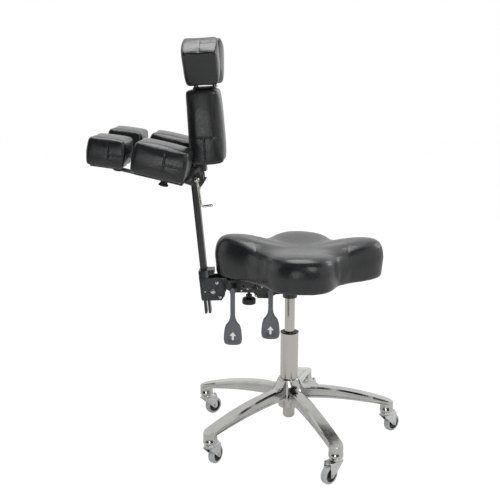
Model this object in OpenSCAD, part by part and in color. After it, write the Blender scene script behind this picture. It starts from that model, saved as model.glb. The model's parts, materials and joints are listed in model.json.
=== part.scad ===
// Tattoo artist's chair: a star base on five casters, a gas lift, a four-lobed seat with a
// tilting back bracket, and a leaning post that carries a back pad, two top pads and two arms.
// Millimetres. +X is the front of the seat, +Y the far side, +Z up. The origin is on the
// floor under the middle of the column.

/* [Star base] */
// Radius of the circle on which the five caster stems stand
stem_circle_r = 280; // [262:2:310]
// Direction of the first leg, seen from above
leg_turn = 223.4; // [0:0.2:360]
// Outside diameter of the hub
hub_d = 60; // [57:1:68]
// Height of the hub's underside
hub_bottom = 94; // [88:1:100]
// Height of the hub's top rim
hub_top = 178; // [170:1:190]
// Height of a leg's crest beside the hub
crest_hub_z = 150; // [144:1:158]
// Height of a leg's crest over its stem
crest_tip_z = 101; // [98:1:106]
// Depth of a leg beside the hub
leg_depth = 30; // [26:1:36]
// Depth of a leg beside its boss
leg_tip_depth = 13; // [11:1:18]
// Width of a leg beside the hub
leg_w = 34; // [30:1:36]
// Width of a leg's flat top facet beside the hub
facet_w = 11; // [8:1:16]
// Wall of the cast legs, which are open below
leg_wall = 5; // [4:0.5:7]
// Diameter of the boss that holds a caster stem
boss_d = 38; // [36:1:44]
// Height of the boss's underside
boss_bottom = 66; // [65:1:70]

/* [Casters] */
// Diameter of a wheel
wheel_d = 50; // [46:1:51]
// Width of a tyre
tyre_w = 18; // [16:1:20]
// Diameter of the wheel's core under the tyre
core_d = 36; // [32:1:38]
// Distance from the stem's axis back to the axle
caster_trail = 24; // [20:1:26]
// Diameter of the stem in its socket
stem_d = 11; // [10:0.5:12]
// Length of the stem inside its socket
stem_l = 26; // [20:1:28]
// Diameter of the wheel's axle
axle_d = 8; // [6:0.5:9]
// Thickness of the pressed fork
fork_t = 2.5; // [2:0.5:3]
// Directions in which the five casters trail at rest
caster_turns = [62, 226, 42, 30, 40];

/* [Gas lift] */
// Outside diameter of the standing tube
tube_d = 50; // [46:1:52]
// Wall of the standing tube
tube_wall = 2; // [1.5:0.5:3]
// Height of the standing tube's top edge
tube_top = 309; // [300:1:316]
// Diameter of the chromed piston
piston_d = 28; // [26:1:30]
// Height of the piston's lower end
piston_bottom = 215; // [205:1:225]
// Height at which the piston's taper enters its socket
cone_bottom = 409; // [404:1:414]
// Length of the taper
cone_l = 40; // [34:1:42]
// Diameter of the taper's small end
cone_end_d = 26; // [24:0.5:26.5]
// Diameter of the release pin
release_d = 8; // [6:0.5:10]
// Height that the release pin stands above the piston
release_rise = 6; // [5:0.5:8]
// Length of the bush in the tube's mouth
bush_l = 54; // [45:1:60]
// Diameter of the cap under the hub
cap_d = 34; // [30:1:38]
// Depth of the cap under the hub
cap_h = 35; // [30:1:40]

/* [Seat] */
// Height of the seat cushion's lower edge
seat_bottom = 470; // [466:1:476]
// Height of the middle of the seat
seat_mid_z = 548; // [540:1:556]
// Height by which the back lobe rises above the middle
back_lobe_rise = 36; // [26:1:42]
// Height by which the front lobe rises above the middle
front_lobe_rise = 28; // [20:1:36]
// Height by which the side lobes rise above the middle
side_lobe_rise = 12; // [6:1:20]
// Place of the seat's middle ahead of the column
seat_x = 30; // [24:1:36]
// Reach of the front lobe from the seat's middle
front_reach = 218; // [205:1:230]
// Reach of the back lobe from the seat's middle
back_reach = 232; // [220:1:234]
// Reach of each side lobe from the seat's middle
side_reach = 203; // [190:1:220]
// Reach of the waists between the lobes
waist_reach = 152; // [144:1:165]
// Thickness of the plywood under the cushion
board_t = 12; // [9:1:15]
// Distance of the plywood's edge inside the cushion's edge
board_inset = 22; // [16:1:28]

/* [Mechanism] */
// Thickness of the plate under the seat board
plate_t = 4; // [3:0.5:5]
// Length of that plate
plate_l = 200; // [180:5:220]
// Width of that plate
plate_w = 170; // [150:5:190]
// Width of the pressed housing
housing_w = 90; // [84:1:100]
// Sheet thickness of the pressed housing
housing_t = 3; // [2:0.5:3]
// Place of the housing's back edge
housing_back_x = -170; // [-170:1:-166]
// Place of the housing's front edge
housing_front_x = 62; // [50:1:80]
// Depth of the housing at its back
housing_h = 34; // [30:1:38]
// Depth of the housing at the belly between the levers
belly_h = 49; // [44:1:50]
// Diameter of both lever rods
rod_d = 10; // [8:0.5:11]
// Height of both lever rods
rod_z = 452; // [450:0.5:453]
// Place of the back lever's rod
tilt_rod_x = -149; // [-152:1:-146]
// Place of the height lever's rod
lift_rod_x = -50; // [-54:1:-46]
// Distance of the handles from the middle plane
handle_y = 110; // [100:1:125]
// Drop of the back lever's handle
tilt_handle_l = 145; // [130:1:155]
// Drop of the height lever's handle
lift_handle_l = 127; // [115:1:140]
// Width of a handle's paddle
paddle_w = 49; // [42:1:54]
// Length of a handle's paddle
paddle_l = 66; // [58:1:72]
// Width of a handle's stem
handle_stem_w = 13; // [11:1:15]
// Thickness of a handle
handle_t = 7; // [6:0.5:9]
// Place of the tension knob
tension_x = -112; // [-116:1:-108]
// Diameter of the tension knob
tension_d = 38; // [34:1:42]
// Height of the tension knob
tension_h = 20; // [16:1:22]
// Diameter of the tension knob's stud
stud_d = 8; // [6:0.5:9]

/* [Back bracket] */
// Place of the tilt pivot
tilt_x = -197; // [-198:0.5:-196]
// Height of the tilt pivot
tilt_z = 453; // [452:0.5:454]
// Diameter of the tilt pivot pin
tilt_pin_d = 8; // [6:0.5:9]
// Distance between the bracket's two cheeks
cheek_gap = 46.6; // [44:0.2:50]
// Thickness of a cheek
cheek_t = 3; // [2.5:0.5:4]
// Lean of the post, towards the back
post_lean = 5.3; // [4:0.1:6]
// Place of the post's middle at the height of the tilt pivot
post_x = -232; // [-234:0.5:-231]
// Thickness of the post, seen from the side
post_t = 17; // [15:0.5:18]
// Width of the post, seen from the front
post_w = 28; // [24:1:28]
// Length of the post below the tilt pivot
post_below = 91; // [84:1:96]
// Length of the post above the tilt pivot
post_above = 268; // [262:1:272]
// Width of the slot in the post's lower end
slot_w = 4.4; // [4.2:0.1:5]
// Length of the slot in the post's lower end
slot_l = 120; // [112:1:120]
// Diameter of the guide pin that runs in the slot
guide_d = 4; // [3:0.1:4]
// Height of the guide sleeve above the cheeks
sleeve_above = 32; // [28:1:36]
// Depth of the guide sleeve below the tilt pivot
sleeve_below = 47; // [42:1:50]
// Wall of the guide sleeve ahead of and behind the post
sleeve_wall = 4.5; // [3.5:0.5:5]

/* [Head] */
// Place of the head's pivot
head_x = -247; // [-249:0.5:-246]
// Height of the head's pivot
head_z = 733; // [731:0.5:735]
// Diameter of the pivot bolt
bolt_d = 10; // [8:0.5:12]
// Diameter of the barrel on top of the post
barrel_d = 30; // [27:1:31]
// Size of the yoke's cheeks from corner to corner
yoke_d = 43; // [40:1:45]
// Thickness of the yoke's cheeks
yoke_t = 6; // [5:0.5:7]
// Drop of the clamp lever
clamp_l = 72; // [60:1:80]
// Reach of the clamp lever's hooked end
clamp_reach = 32; // [24:1:38]
// Diameter of the clamp lever's rod
clamp_d = 6; // [5:0.5:7]

/* [Back pad] */
// Place of the back pad's lower end, middle of its thickness
back_x = -219; // [-221:0.5:-218]
// Height of the back pad's lower end
back_z = 775; // [773:1:778]
// Lean of the back pad
back_lean = 2.9; // [1:0.1:4]
// Height of the back pad
back_h = 194; // [180:1:194]
// Thickness of the back pad at its lower end
back_t = 87; // [80:1:87]
// Thickness of the back pad at its upper end
back_top_t = 78; // [70:1:80]
// Width of the back pad
back_w = 104; // [96:1:104]
// Width of the steel spine inside the back pad
spine_w = 40; // [34:1:42]
// Thickness of the steel spine
spine_t = 8; // [6:0.5:10]

/* [Arms] */
// Distance of each arm from the middle plane
arm_y = 118; // [118:1:126]
// Rise of the inner arm pads
inner_rise = 13; // [11:0.5:14]
// Rise of the outer arm pads
outer_rise = 7.4; // [6.5:0.1:8]
// Place of the inner pads' pivots
arm_pivot_x = -318; // [-320:0.5:-317]
// Height of the inner pads' underside at that pivot
arm_pivot_z = 753; // [751:0.5:755]
// Length of an inner arm pad
inner_l = 138; // [130:1:139]
// Thickness of an inner arm pad
inner_t = 81; // [72:1:84]
// Length of an outer arm pad
outer_l = 94; // [86:1:104]
// Thickness of an outer arm pad
outer_t = 68; // [60:1:74]
// Width of the arm pads
arm_w = 120; // [108:1:120]
// Distance from an inner pad's pivot to its inner end
inner_back = 54; // [50:1:58]
// Gap between an inner and an outer arm pad
arm_gap = 14; // [12:0.5:17]
// Distance from an outer pad's inner end to its pivot
outer_pivot_in = 24; // [20:1:28]
// Thickness of the steel plates under the arm pads
arm_plate_t = 4; // [3:0.5:5]
// Thickness of the forked plate that carries both arms
carrier_t = 6; // [5:0.5:7]
// Diameter of an arm's lock knob
arm_knob_d = 27; // [22:1:30]
// Height of an arm's lock knob
arm_knob_h = 13; // [10:1:16]

/* [Top pads] */
// Width of a top pad
top_w = 90; // [80:1:94]
// Thickness of a top pad
top_t = 85; // [76:1:85]
// Length of a top pad
top_l = 100; // [90:1:110]
// Place of the top pads' middle ahead of the spine's back face
top_ahead = 18; // [16:0.5:18]
// Angle at which the top pads stand up
top_rise = 60; // [60:1:66]
// Distance of each top pad's hinge from the middle plane
top_hinge_y = 24; // [23:0.5:25]
// Height of the top pads' hinges above the back pad
top_hinge_up = 16; // [15:0.5:18]
// Diameter of the top pads' hinge pins
top_pin_d = 8; // [6:0.5:9]

/* [Hidden] */

$fn = 48;
// Radial clearance of a running fit, and of a fixed one
run_gap = 0.05;
seat_gap = 0.02;
// Clearance between faces that slide past each other
face_gap = 0.3;
// Overrun of every cut
cut = 1;
chrome_grey = "#c9cbcc";
steel_black = "#26282a";
skin_black = "#303234";
steel_grey = "#4a4d50";
steel_satin = "#3a3c3e";
birch = "#b58a55";
handle_grey = "#9ea2a6";

// Points of an arc round c, from angle a0 to a1, in n steps
function arc(c, r, a0, a1, n = 8) =
    [for (i = [0:n]) let (a = a0 + (a1 - a0) * i / n) c + r * [cos(a), sin(a)]];

// Outline of a rounded rectangle whose sides are drawn in by d between their corners
function pad_outline(l, w, r, d, n = 4, m = 4) = let (
    c = [[l / 2 - r, w / 2 - r], [r - l / 2, w / 2 - r], [r - l / 2, r - w / 2],
        [l / 2 - r, r - w / 2]])
    [for (k = [0:3]) let (
        next = c[(k + 1) % 4],
        out = [cos(90 * k + 90), sin(90 * k + 90)],
        a = c[k] + r * out,
        b = next + r * out)
        each concat(arc(c[k], r, 90 * k, 90 * k + 90, n),
            [for (j = [1:m - 1]) a + (b - a) * j / m - out * d * sin(180 * j / m)])];

// Closed skin over a stack of rings, with a point in the middle of each end
module skin(rings, low, high) {
    n = len(rings[0]);
    m = len(rings);
    points = concat([low], [for (r = rings) each r], [high]);
    faces = concat(
        [for (i = [0:n - 1]) [0, 1 + i, 1 + (i + 1) % n]],
        [for (k = [0:m - 2], i = [0:n - 1]) let (
            a = 1 + k * n + i,
            b = 1 + k * n + (i + 1) % n)
            each [[a, a + n, b + n], [a, b + n, b]]],
        [for (i = [0:n - 1]) [1 + m * n, 1 + (m - 1) * n + (i + 1) % n, 1 + (m - 1) * n + i]]);
    polyhedron(points, faces);
}

// A stuffed pad with a flat underside, drawn-in sides and a crowned top. Its length lies
// along X and its thickness along Z; slope tapers the thickness along +X. Each step of the
// skin is an inset and a height, in shares of the rim's, the top rim's and the whole height.
pad_corner_share = 0.11;
pad_crown_share = 0.045;
pad_draw_share = 0.012;
pad_bulge_share = 0.014;
pad_rim_share = 0.07;
pad_top_rim_share = 0.13;
pad_dome_share = 0.16;
round_share = 0.3;
function pad_ring(l, w, t, inset, z, slope) =
    [for (p = pad_outline(l - 2 * inset, w - 2 * inset, min(l, w) * pad_corner_share,
        w * pad_draw_share)) [p[0], p[1], z * (1 - slope * p[0] / l)]];
module pad(l, w, t, slope = 0) {
    rim = t * pad_rim_share;
    top = t * pad_top_rim_share;
    crown = t * pad_crown_share;
    bulge = t * pad_bulge_share;
    high = t - crown;
    steps = [[rim, 0], [rim * round_share, rim * round_share], [0, rim], [-bulge, high / 2],
        [0, high - top], [top * round_share, high - top * round_share], [top, high],
        [top + min(l, w) * pad_dome_share, high + crown * (1 - round_share)]];
    skin([for (s = steps) pad_ring(l, w, t, s[0] + bulge, s[1], slope)], [0, 0, 0], [0, 0, t]);
}

// A flat-bottomed dome of radius r and height h, as a rivet or cap head has
module dome(r, h) {
    ball = (r * r + h * h) / (2 * h);
    intersection() {
        translate([0, 0, h - ball]) sphere(ball);
        cylinder(h = h, r = r);
    }
}

// A bar along Y, from y0 to y1, round the point x, z
module y_rod(x, z, r, y0, y1) {
    translate([x, y0, z]) rotate([-90, 0, 0]) cylinder(h = y1 - y0, r = r);
}

// An outline in X and Z given a thickness from y0 to y1
module y_plate(points, y0, y1) {
    translate([0, y1, 0]) rotate([90, 0, 0]) linear_extrude(y1 - y0) polygon(points);
}

// Star base
leg_angles = [for (k = [0:4]) leg_turn + 72 * k];
tip_r = boss_d / 2;
// Step of a leg's end and sides inside its boss
tip_step = 0.7;
leg_step = 0.5;
// Length over which a leg climbs the hub, and its start and straight part beside the hub
climb_l = 20;
leg_start = 1.5;
leg_straight = 15;
leg_r0 = tube_d / 2 + leg_start;
leg_r1 = hub_d / 2 + leg_straight;
// Least height of a leg's sides, and of the walls inside them
side_lip = 1.5;
wall_lip = 0.5;
roof_lip = 1;
// Where the channel under a leg starts to close, and over what share of its length
channel_end_share = 0.84;
channel_close_share = 0.06;
shoulder_w = 1.5;
facet_bend = 0.7;
crest_bend = 1.75;
facet_drop_share = 0.35;
facet_flat_share = 0.6;
facet_wall_share = 0.4;
boss_dome_share = 0.26;
hub_bore_r = tube_d / 2 + seat_gap;
flute_r = 2;
leg_stations_share = [0, 0.06, 0.12, 0.19, 0.3, 0.42, 0.54, 0.66, 0.78, 0.86, 0.92, 0.97, 1, 1.09];
function leg_t(r) = max(0, (r - leg_r1) / (stem_circle_r - leg_r1));
function crest_z(r) = crest_tip_z + (crest_hub_z - crest_tip_z) * (1 - pow(leg_t(r), crest_bend))
    + (hub_top - cut - crest_hub_z) * pow(max(0, 1 - (r - leg_r0) / climb_l), 2);
function under_z(r) = let (t = min(1, leg_t(r)))
    crest_hub_z - leg_depth - (crest_hub_z - leg_depth - crest_tip_z + leg_tip_depth)
    * pow(t, crest_bend);
function leg_half(r) = (leg_w + (boss_d - 2 * leg_step - leg_w) * min(1, leg_t(r))) / 2;
function leg_section(r) = let (
    t = min(1, leg_t(r)),
    w = leg_half(r),
    f = (facet_w + (boss_d - 2 * leg_step - 2 * shoulder_w - facet_w) * pow(t, facet_bend)) / 2,
    zc = crest_z(r),
    zu = under_z(r),
    drop = (crest_hub_z - zu) * facet_drop_share * (1 - facet_flat_share * t),
    zs = max(zu + side_lip, zc - drop),
    ceil_w = min(f - leg_wall * facet_wall_share, w - leg_wall - roof_lip),
    open = 1 - min(1, max(0, (t - channel_end_share) / channel_close_share)),
    ceil_z = zu + roof_lip + (min(zc, crest_hub_z) - leg_wall - zu - roof_lip) * open,
    ceil_s = zu + wall_lip + (min(zs, crest_hub_z) - leg_wall - zu - wall_lip) * open,
    wall_z = max(zu + wall_lip, ceil_s))
    [[-w, zu], [-w + leg_wall, zu], [-w + leg_wall, wall_z], [-ceil_w, ceil_z],
    [ceil_w, ceil_z], [w - leg_wall, wall_z], [w - leg_wall, zu], [w, zu],
    [w, zs], [f, zc], [-f, zc], [-w, zs]];
leg_cap_quads = [[7, 8, 5, 6], [8, 9, 4, 5], [9, 10, 3, 4], [10, 11, 2, 3], [11, 0, 1, 2]];
module leg() {
    rs = [for (s = leg_stations_share) leg_r0 + (stem_circle_r - leg_r0) * s];
    n = 12;
    m = len(rs);
    points = [for (r = rs) each [for (p = leg_section(r)) [r, p[0], p[1]]]];
    sides = [for (k = [0:m - 2], i = [0:n - 1]) let (
        a = k * n + i,
        b = k * n + (i + 1) % n)
        each [[b, a, b + n], [b + n, a, a + n]]];
    caps = [for (q = leg_cap_quads) each [[q[0], q[1], q[2]], [q[0], q[2], q[3]]]];
    polyhedron(points, concat(caps, sides,
        [for (c = caps) [for (i = [c[2], c[1], c[0]]) (m - 1) * n + i]]));
}
module on_stems() {
    for (k = [0:4]) rotate([0, 0, leg_angles[k]]) translate([stem_circle_r, 0, 0]) children();
}
module boss() {
    top = crest_tip_z - leg_wall;
    drop = boss_d * boss_dome_share;
    rotate_extrude() polygon(concat([[0, boss_bottom], [tip_r, boss_bottom],
        [tip_r, top - drop]], arc([tip_r - drop, top - drop], drop, 10, 90, 5), [[0, top]]));
}
module star_base() {
    color(chrome_grey) difference() {
        union() {
            translate([0, 0, hub_bottom]) cylinder(h = hub_top - hub_bottom, r = hub_d / 2);
            for (a = leg_angles) rotate([0, 0, a]) intersection() {
                leg();
                translate([0, 0, hub_bottom - leg_depth]) linear_extrude(hub_top) union() {
                    translate([0, -boss_d]) square([stem_circle_r, 2 * boss_d]);
                    translate([stem_circle_r, 0]) circle(tip_r - tip_step);
                }
            }
            on_stems() boss();
        }
        translate([0, 0, hub_bottom - cut])
            cylinder(h = hub_top - hub_bottom + 2 * cut, r = hub_bore_r);
        on_stems() translate([0, 0, boss_bottom - cut])
            cylinder(h = stem_l + 2 * cut, r = stem_d / 2 + seat_gap);
        for (a = leg_angles) rotate([0, 0, a + 36])
            translate([hub_d / 2 + flute_r / 2, 0, crest_hub_z - leg_depth])
            cylinder(h = leg_depth * 2, r = flute_r, $fn = 24);
    }
}

// Gas lift
tube_bottom = hub_bottom;
bore_r = tube_d / 2 - tube_wall;
collar_h = 2;
collar_out = 0.5;
cap_lip = 4;
cap_flat_share = 0.45;
piston_top = cone_bottom + cone_l;
release_depth = 14;
module lift_tube() {
    color(chrome_grey) difference() {
        translate([0, 0, tube_bottom]) cylinder(h = tube_top - tube_bottom, r = tube_d / 2);
        translate([0, 0, tube_bottom + tube_wall])
            cylinder(h = tube_top - tube_bottom, r = bore_r);
    }
}
module tube_bush() {
    color(steel_black) difference() {
        union() {
            translate([0, 0, tube_top - bush_l]) cylinder(h = bush_l, r = bore_r - seat_gap);
            translate([0, 0, tube_top]) cylinder(h = collar_h, r = tube_d / 2 + collar_out);
        }
        translate([0, 0, tube_top - bush_l - cut])
            cylinder(h = bush_l + collar_h + 2 * cut, r = piston_d / 2 + run_gap);
    }
}
module lift_cap() {
    r = cap_d / 2;
    nose = r * (1 - cap_flat_share);
    color(chrome_grey) rotate_extrude() polygon(concat(
        [[0, hub_bottom], [r + cap_lip, hub_bottom], [r + cap_lip, hub_bottom - cap_lip],
        [r, hub_bottom - cap_lip * 1.5]],
        arc([r - nose, hub_bottom - cap_h + nose], nose, 0, -90, 8),
        [[0, hub_bottom - cap_h]]));
}
module gas_piston() {
    color(chrome_grey) difference() {
        union() {
            translate([0, 0, piston_bottom])
                cylinder(h = cone_bottom - piston_bottom, r = piston_d / 2);
            translate([0, 0, cone_bottom])
                cylinder(h = cone_l, r1 = piston_d / 2, r2 = cone_end_d / 2);
        }
        translate([0, 0, piston_top - release_depth])
            cylinder(h = release_depth + cut, r = release_d / 2 + run_gap);
    }
}
module release_pin() {
    color(chrome_grey) translate([0, 0, piston_top - release_depth + release_rise])
        cylinder(h = release_depth, r = release_d / 2);
}

// Casters. The stems and their swivel cups are pressed into the bosses, and the forks turn
// round the stems' lower ends.
cup_top = boss_bottom;
cup_h = 8;
cup_step = 2;
cup_round = 4;
cup_r = tip_r - cup_step;
fork_top = cup_top - cup_h;
fork_plate_t = 3;
wheel_gap = 1.4;
fork_half = tyre_w / 2 + wheel_gap;
rivet_h = 2;
rivet_share = 0.72;
module caster_stems() {
    low = fork_top - fork_plate_t - rivet_h - face_gap;
    color(chrome_grey) on_stems() union() {
        translate([0, 0, low]) cylinder(h = boss_bottom + stem_l - face_gap - low, r = stem_d / 2);
        translate([0, 0, low]) cylinder(h = rivet_h, r = stem_d * rivet_share);
        rotate_extrude() polygon(concat([[0, fork_top + face_gap], [cup_r, fork_top + face_gap]],
            arc([cup_r - cup_round, cup_top - cup_round], cup_round, 0, 90, 4), [[0, cup_top]]));
    }
}
module at_caster(k) {
    rotate([0, 0, leg_angles[k]]) translate([stem_circle_r, 0, 0])
        rotate([0, 0, caster_turns[k] - leg_angles[k]]) children();
}
axle_z = wheel_d / 2;
eye_r = axle_d * 0.85;
axle_end = 1.5;
brow_r = 6;
bead_r = 4;
fork_back = cup_r - 2;
fork_nose = caster_trail + wheel_d / 4 - brow_r;
module caster_fork(k) {
    low = fork_top - fork_plate_t;
    side = concat([[-fork_back, low + cut], [-fork_back, low - fork_plate_t]],
        arc([caster_trail, axle_z], eye_r, 215, 350, 10),
        [[caster_trail + eye_r, axle_z + eye_r], [fork_nose, low - 2 * cut], [fork_nose, low + cut]]);
    heel = fork_back / 2;
    out = fork_half + fork_t;
    color(chrome_grey) at_caster(k) difference() {
        union() {
            translate([0, 0, low]) cylinder(h = fork_plate_t, r = cup_r);
            translate([0, -fork_half, low]) cube([fork_nose, 2 * fork_half, fork_plate_t]);
            translate([fork_nose, 0, low]) cylinder(h = fork_plate_t, r = brow_r);
            translate([fork_nose, 0, low]) cylinder(h = fork_plate_t * 2, r = bead_r);
            for (s = [-1, 1]) {
                y_plate(side, s > 0 ? fork_half : -out, s > 0 ? out : -fork_half);
                translate([-heel, s > 0 ? fork_half - cut : -out, low])
                    cube([heel + fork_nose, fork_t + cut, fork_plate_t]);
            }
            y_rod(caster_trail, axle_z, axle_d / 2, -out - axle_end, out + axle_end);
        }
        translate([0, 0, low - cut])
            cylinder(h = fork_plate_t + 2 * cut, r = stem_d / 2 + run_gap);
    }
}
// The core's half section from the hub's end to its rim, mirrored for the other side
core_out = 0.8;
core_rim = 1.5;
core_web_share = 0.3;
module caster_core(k) {
    w = tyre_w / 2 + core_out;
    web = tyre_w * core_web_share;
    r = core_d / 2;
    half = [[r, w - core_out], [r - core_rim, w - core_out], [r - 2 * core_rim, web],
        [axle_d + core_rim, web], [axle_d, w], [axle_d / 2 + run_gap, w]];
    color(steel_black) at_caster(k) translate([caster_trail, 0, axle_z]) rotate([90, 0, 0])
        rotate_extrude() polygon(concat(half,
        [for (i = [len(half) - 1:-1:0]) [half[i][0], -half[i][1]]]));
}
tyre_round = 5;
module caster_tyre(k) {
    r = wheel_d / 2 - tyre_round;
    h = tyre_w / 2;
    bore = core_d / 2 + seat_gap;
    color(handle_grey) at_caster(k) translate([caster_trail, 0, axle_z]) rotate([90, 0, 0])
        rotate_extrude() polygon(concat([[bore, h], [bore, -h]],
        arc([r, tyre_round - h], tyre_round, -90, 0, 5), arc([r, h - tyre_round], tyre_round, 0, 90, 5)));
}

// Seat. The outline is a polar curve with a lobe on each axis; side lobes are broader.
seat_reaches = [front_reach, side_reach, back_reach, side_reach];
seat_rises = [front_lobe_rise, side_lobe_rise, back_lobe_rise, side_lobe_rise];
lobe_breadth_shares = [1, 1.7, 1, 1.7];
lobe_bend = 0.7;
lobe_top_share = 0.8;
dish_bend = 1.6;
edge_fall = 7;
edge_bend = 8;
seat_points = 72;
function lobe(t, q) = t >= 1 ? 0 : pow(cos(90 * pow(t, q)), 3);
function near_lobe(a) = floor((a + 45) / 90) % 4;
function lobe_off(a) = abs((a + 45) % 90 - 45) / 45;
function lobe_w(a) = lobe(lobe_off(a), lobe_breadth_shares[near_lobe(a)]);
function seat_r(a) = waist_reach + (seat_reaches[near_lobe(a)] - waist_reach) * lobe_w(a);
function seat_outline(inset) = [for (i = [0:seat_points - 1]) let (a = 360 * i / seat_points)
    [seat_x, 0] + (seat_r(a) - inset) * [cos(a), sin(a)]];
seat_side_shares = [[0.035, 0], [0.022, 0.05], [0.014, 0.28], [0, 0.62], [0.008, 0.82]];
seat_top_shares = [[0.035, 0.975], [0.085, 1], [0.16, 1], [0.28, 1], [0.44, 1], [0.66, 1]];
function seat_bump(s) = pow(sin(90 * min(1, s / lobe_top_share)), dish_bend);
function seat_top(a, s) = seat_mid_z - seat_bottom
    + seat_rises[near_lobe(a)] * pow(lobe_w(a), lobe_bend) * seat_bump(s)
    - edge_fall * pow(s, edge_bend);
function seat_ring(shares, rim) = [for (i = [0:seat_points - 1]) let (
    a = 360 * i / seat_points,
    s = 1 - shares[0],
    r = seat_r(a) * s)
    [seat_x + r * cos(a), r * sin(a), seat_bottom + shares[1] * seat_top(a, rim ? 1 : s)]];
module seat_cushion() {
    pocket = seat_outline(board_inset - face_gap);
    rings = concat(
        [[for (p = pocket) [p[0], p[1], seat_bottom + board_t]]],
        [[for (p = pocket) [p[0], p[1], seat_bottom]]],
        [for (s = seat_side_shares) seat_ring(s, true)],
        [for (s = seat_top_shares) seat_ring(s, false)]);
    color(skin_black) skin(rings, [seat_x, 0, seat_bottom + board_t], [seat_x, 0, seat_mid_z]);
}
screw_d = 8;
screw_head_h = 5;
screw_head_share = 0.8;
plate_back = 5;
plate_x = seat_x - plate_back;
screw_in = 14;
// Length, width and place of the slots that lighten the plate, in shares of its size
plate_slot_shares = [0.4, 0.06, 0.37];
module at_screws() {
    for (sx = [-1, 1], sy = [-1, 1])
        translate([plate_x + sx * (plate_l / 2 - screw_in), sy * (plate_w / 2 - screw_in), 0])
        children();
}
module seat_board() {
    color(birch) difference() {
        translate([0, 0, seat_bottom]) linear_extrude(board_t) polygon(seat_outline(board_inset));
        at_screws() translate([0, 0, seat_bottom - cut])
            cylinder(h = board_t, r = screw_d / 2 + seat_gap);
    }
}
plate_bottom = seat_bottom - plate_t;
module seat_plate() {
    color(steel_black) difference() {
        translate([plate_x - plate_l / 2, -plate_w / 2, plate_bottom])
            cube([plate_l, plate_w, plate_t]);
        at_screws() translate([0, 0, plate_bottom - cut])
            cylinder(h = plate_t + 2 * cut, r = screw_d / 2 + seat_gap);
        for (s = [-1, 1])
            translate([plate_x, s * plate_w * plate_slot_shares[2], plate_bottom + plate_t / 2])
            cube([plate_l * plate_slot_shares[0], plate_w * plate_slot_shares[1],
            plate_t + 2 * cut], center = true);
    }
}
module seat_screws() {
    color(chrome_grey) at_screws() union() {
        translate([0, 0, plate_bottom]) cylinder(h = plate_t + board_t - 2 * cut, r = screw_d / 2);
        translate([0, 0, plate_bottom]) mirror([0, 0, 1]) dome(screw_d * screw_head_share, screw_head_h);
    }
}

// Mechanism: a pressed tray, open below, whose flanges carry the lever rods. Its flange
// steps down from the chamfered back to a belly between the levers, and rises to the front.
tray_top = plate_bottom;
ear_y = cheek_gap / 2 - face_gap;
ear_r = 13;
ear_t = 3;
ear_root = 14;
back_chamfer = [14, 8];
belly_start = [14, 26];
belly_end = [6, 12];
front_rise = [4, 6];
bridge_w = 46;
bridge_z = tray_top - housing_h + housing_t;
// Holes in the flanges: distance from the tension knob's axis, and radius
flange_holes = [[22, 6], [-12, 3]];
module ear() {
    y_plate(concat(arc([tilt_x, tilt_z], ear_r, 80, 280, 14),
        [[tilt_rod_x - ear_root, tilt_z - ear_r], [tilt_rod_x - ear_root + 2 * ear_t, tray_top - cut],
        [housing_back_x, tray_top - cut], [tilt_x + ear_r / 2, tilt_z + ear_r - cut]]),
        ear_y - ear_t, ear_y);
}
module mechanism_housing() {
    low = tray_top - housing_h;
    belly = tray_top - belly_h;
    flange = [[housing_back_x, tray_top], [housing_back_x, low + back_chamfer[1]],
        [housing_back_x + back_chamfer[0], low], [tension_x + belly_start[0], low],
        [tension_x + belly_start[1], belly], [lift_rod_x - belly_end[0], belly],
        [lift_rod_x + belly_end[1], low - front_rise[0]],
        [housing_front_x, low + front_rise[1]], [housing_front_x, tray_top]];
    inner_w = housing_w - 2 * housing_t;
    color(steel_black) difference() {
        union() {
            difference() {
                y_plate(flange, -housing_w / 2, housing_w / 2);
                translate([housing_back_x - cut, -inner_w / 2, belly - cut])
                    cube([housing_front_x - housing_back_x - housing_t + cut, inner_w,
                    belly_h + cut - housing_t]);
            }
            translate([tension_x - bridge_w / 2, -inner_w / 2 - cut, bridge_z - housing_t])
                cube([bridge_w, inner_w + 2 * cut, housing_t]);
            ear();
            mirror([0, 1, 0]) ear();
        }
        for (x = [tilt_rod_x, lift_rod_x])
            y_rod(x, rod_z, rod_d / 2 + run_gap, -housing_w, housing_w);
        y_rod(tilt_x, tilt_z, tilt_pin_d / 2 + run_gap, -housing_w, housing_w);
        translate([tension_x, 0, bridge_z - housing_t - cut])
            cylinder(h = housing_t + 2 * cut, r = stud_d / 2 + run_gap);
        for (h = flange_holes)
            y_rod(tension_x + h[0], tray_top - housing_h / 2, h[1], -housing_w, housing_w);
    }
}
socket_wall = 6;
socket_top_gap = 12;
wing_t = 14;
wing_in = 5;
socket_r = piston_d / 2 + socket_wall;
module cone_socket() {
    h = tray_top - housing_t - socket_top_gap - cone_bottom;
    slope = (piston_d - cone_end_d) / 2 / cone_l;
    wing_l = housing_w / 2 - housing_t - face_gap - socket_r + wing_in;
    color(steel_black) difference() {
        union() {
            translate([0, 0, cone_bottom]) cylinder(h = h, r = socket_r);
            for (s = [-1, 1])
                translate([-socket_r, s > 0 ? socket_r - wing_in : wing_in - socket_r - wing_l,
                cone_bottom + h - wing_t]) cube([2 * socket_r, wing_l, wing_t]);
        }
        translate([0, 0, cone_bottom - cut])
            cylinder(h = h + 2 * cut, r1 = piston_d / 2 + run_gap + slope * cut,
            r2 = piston_d / 2 + run_gap - slope * (h + cut));
    }
}
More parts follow.
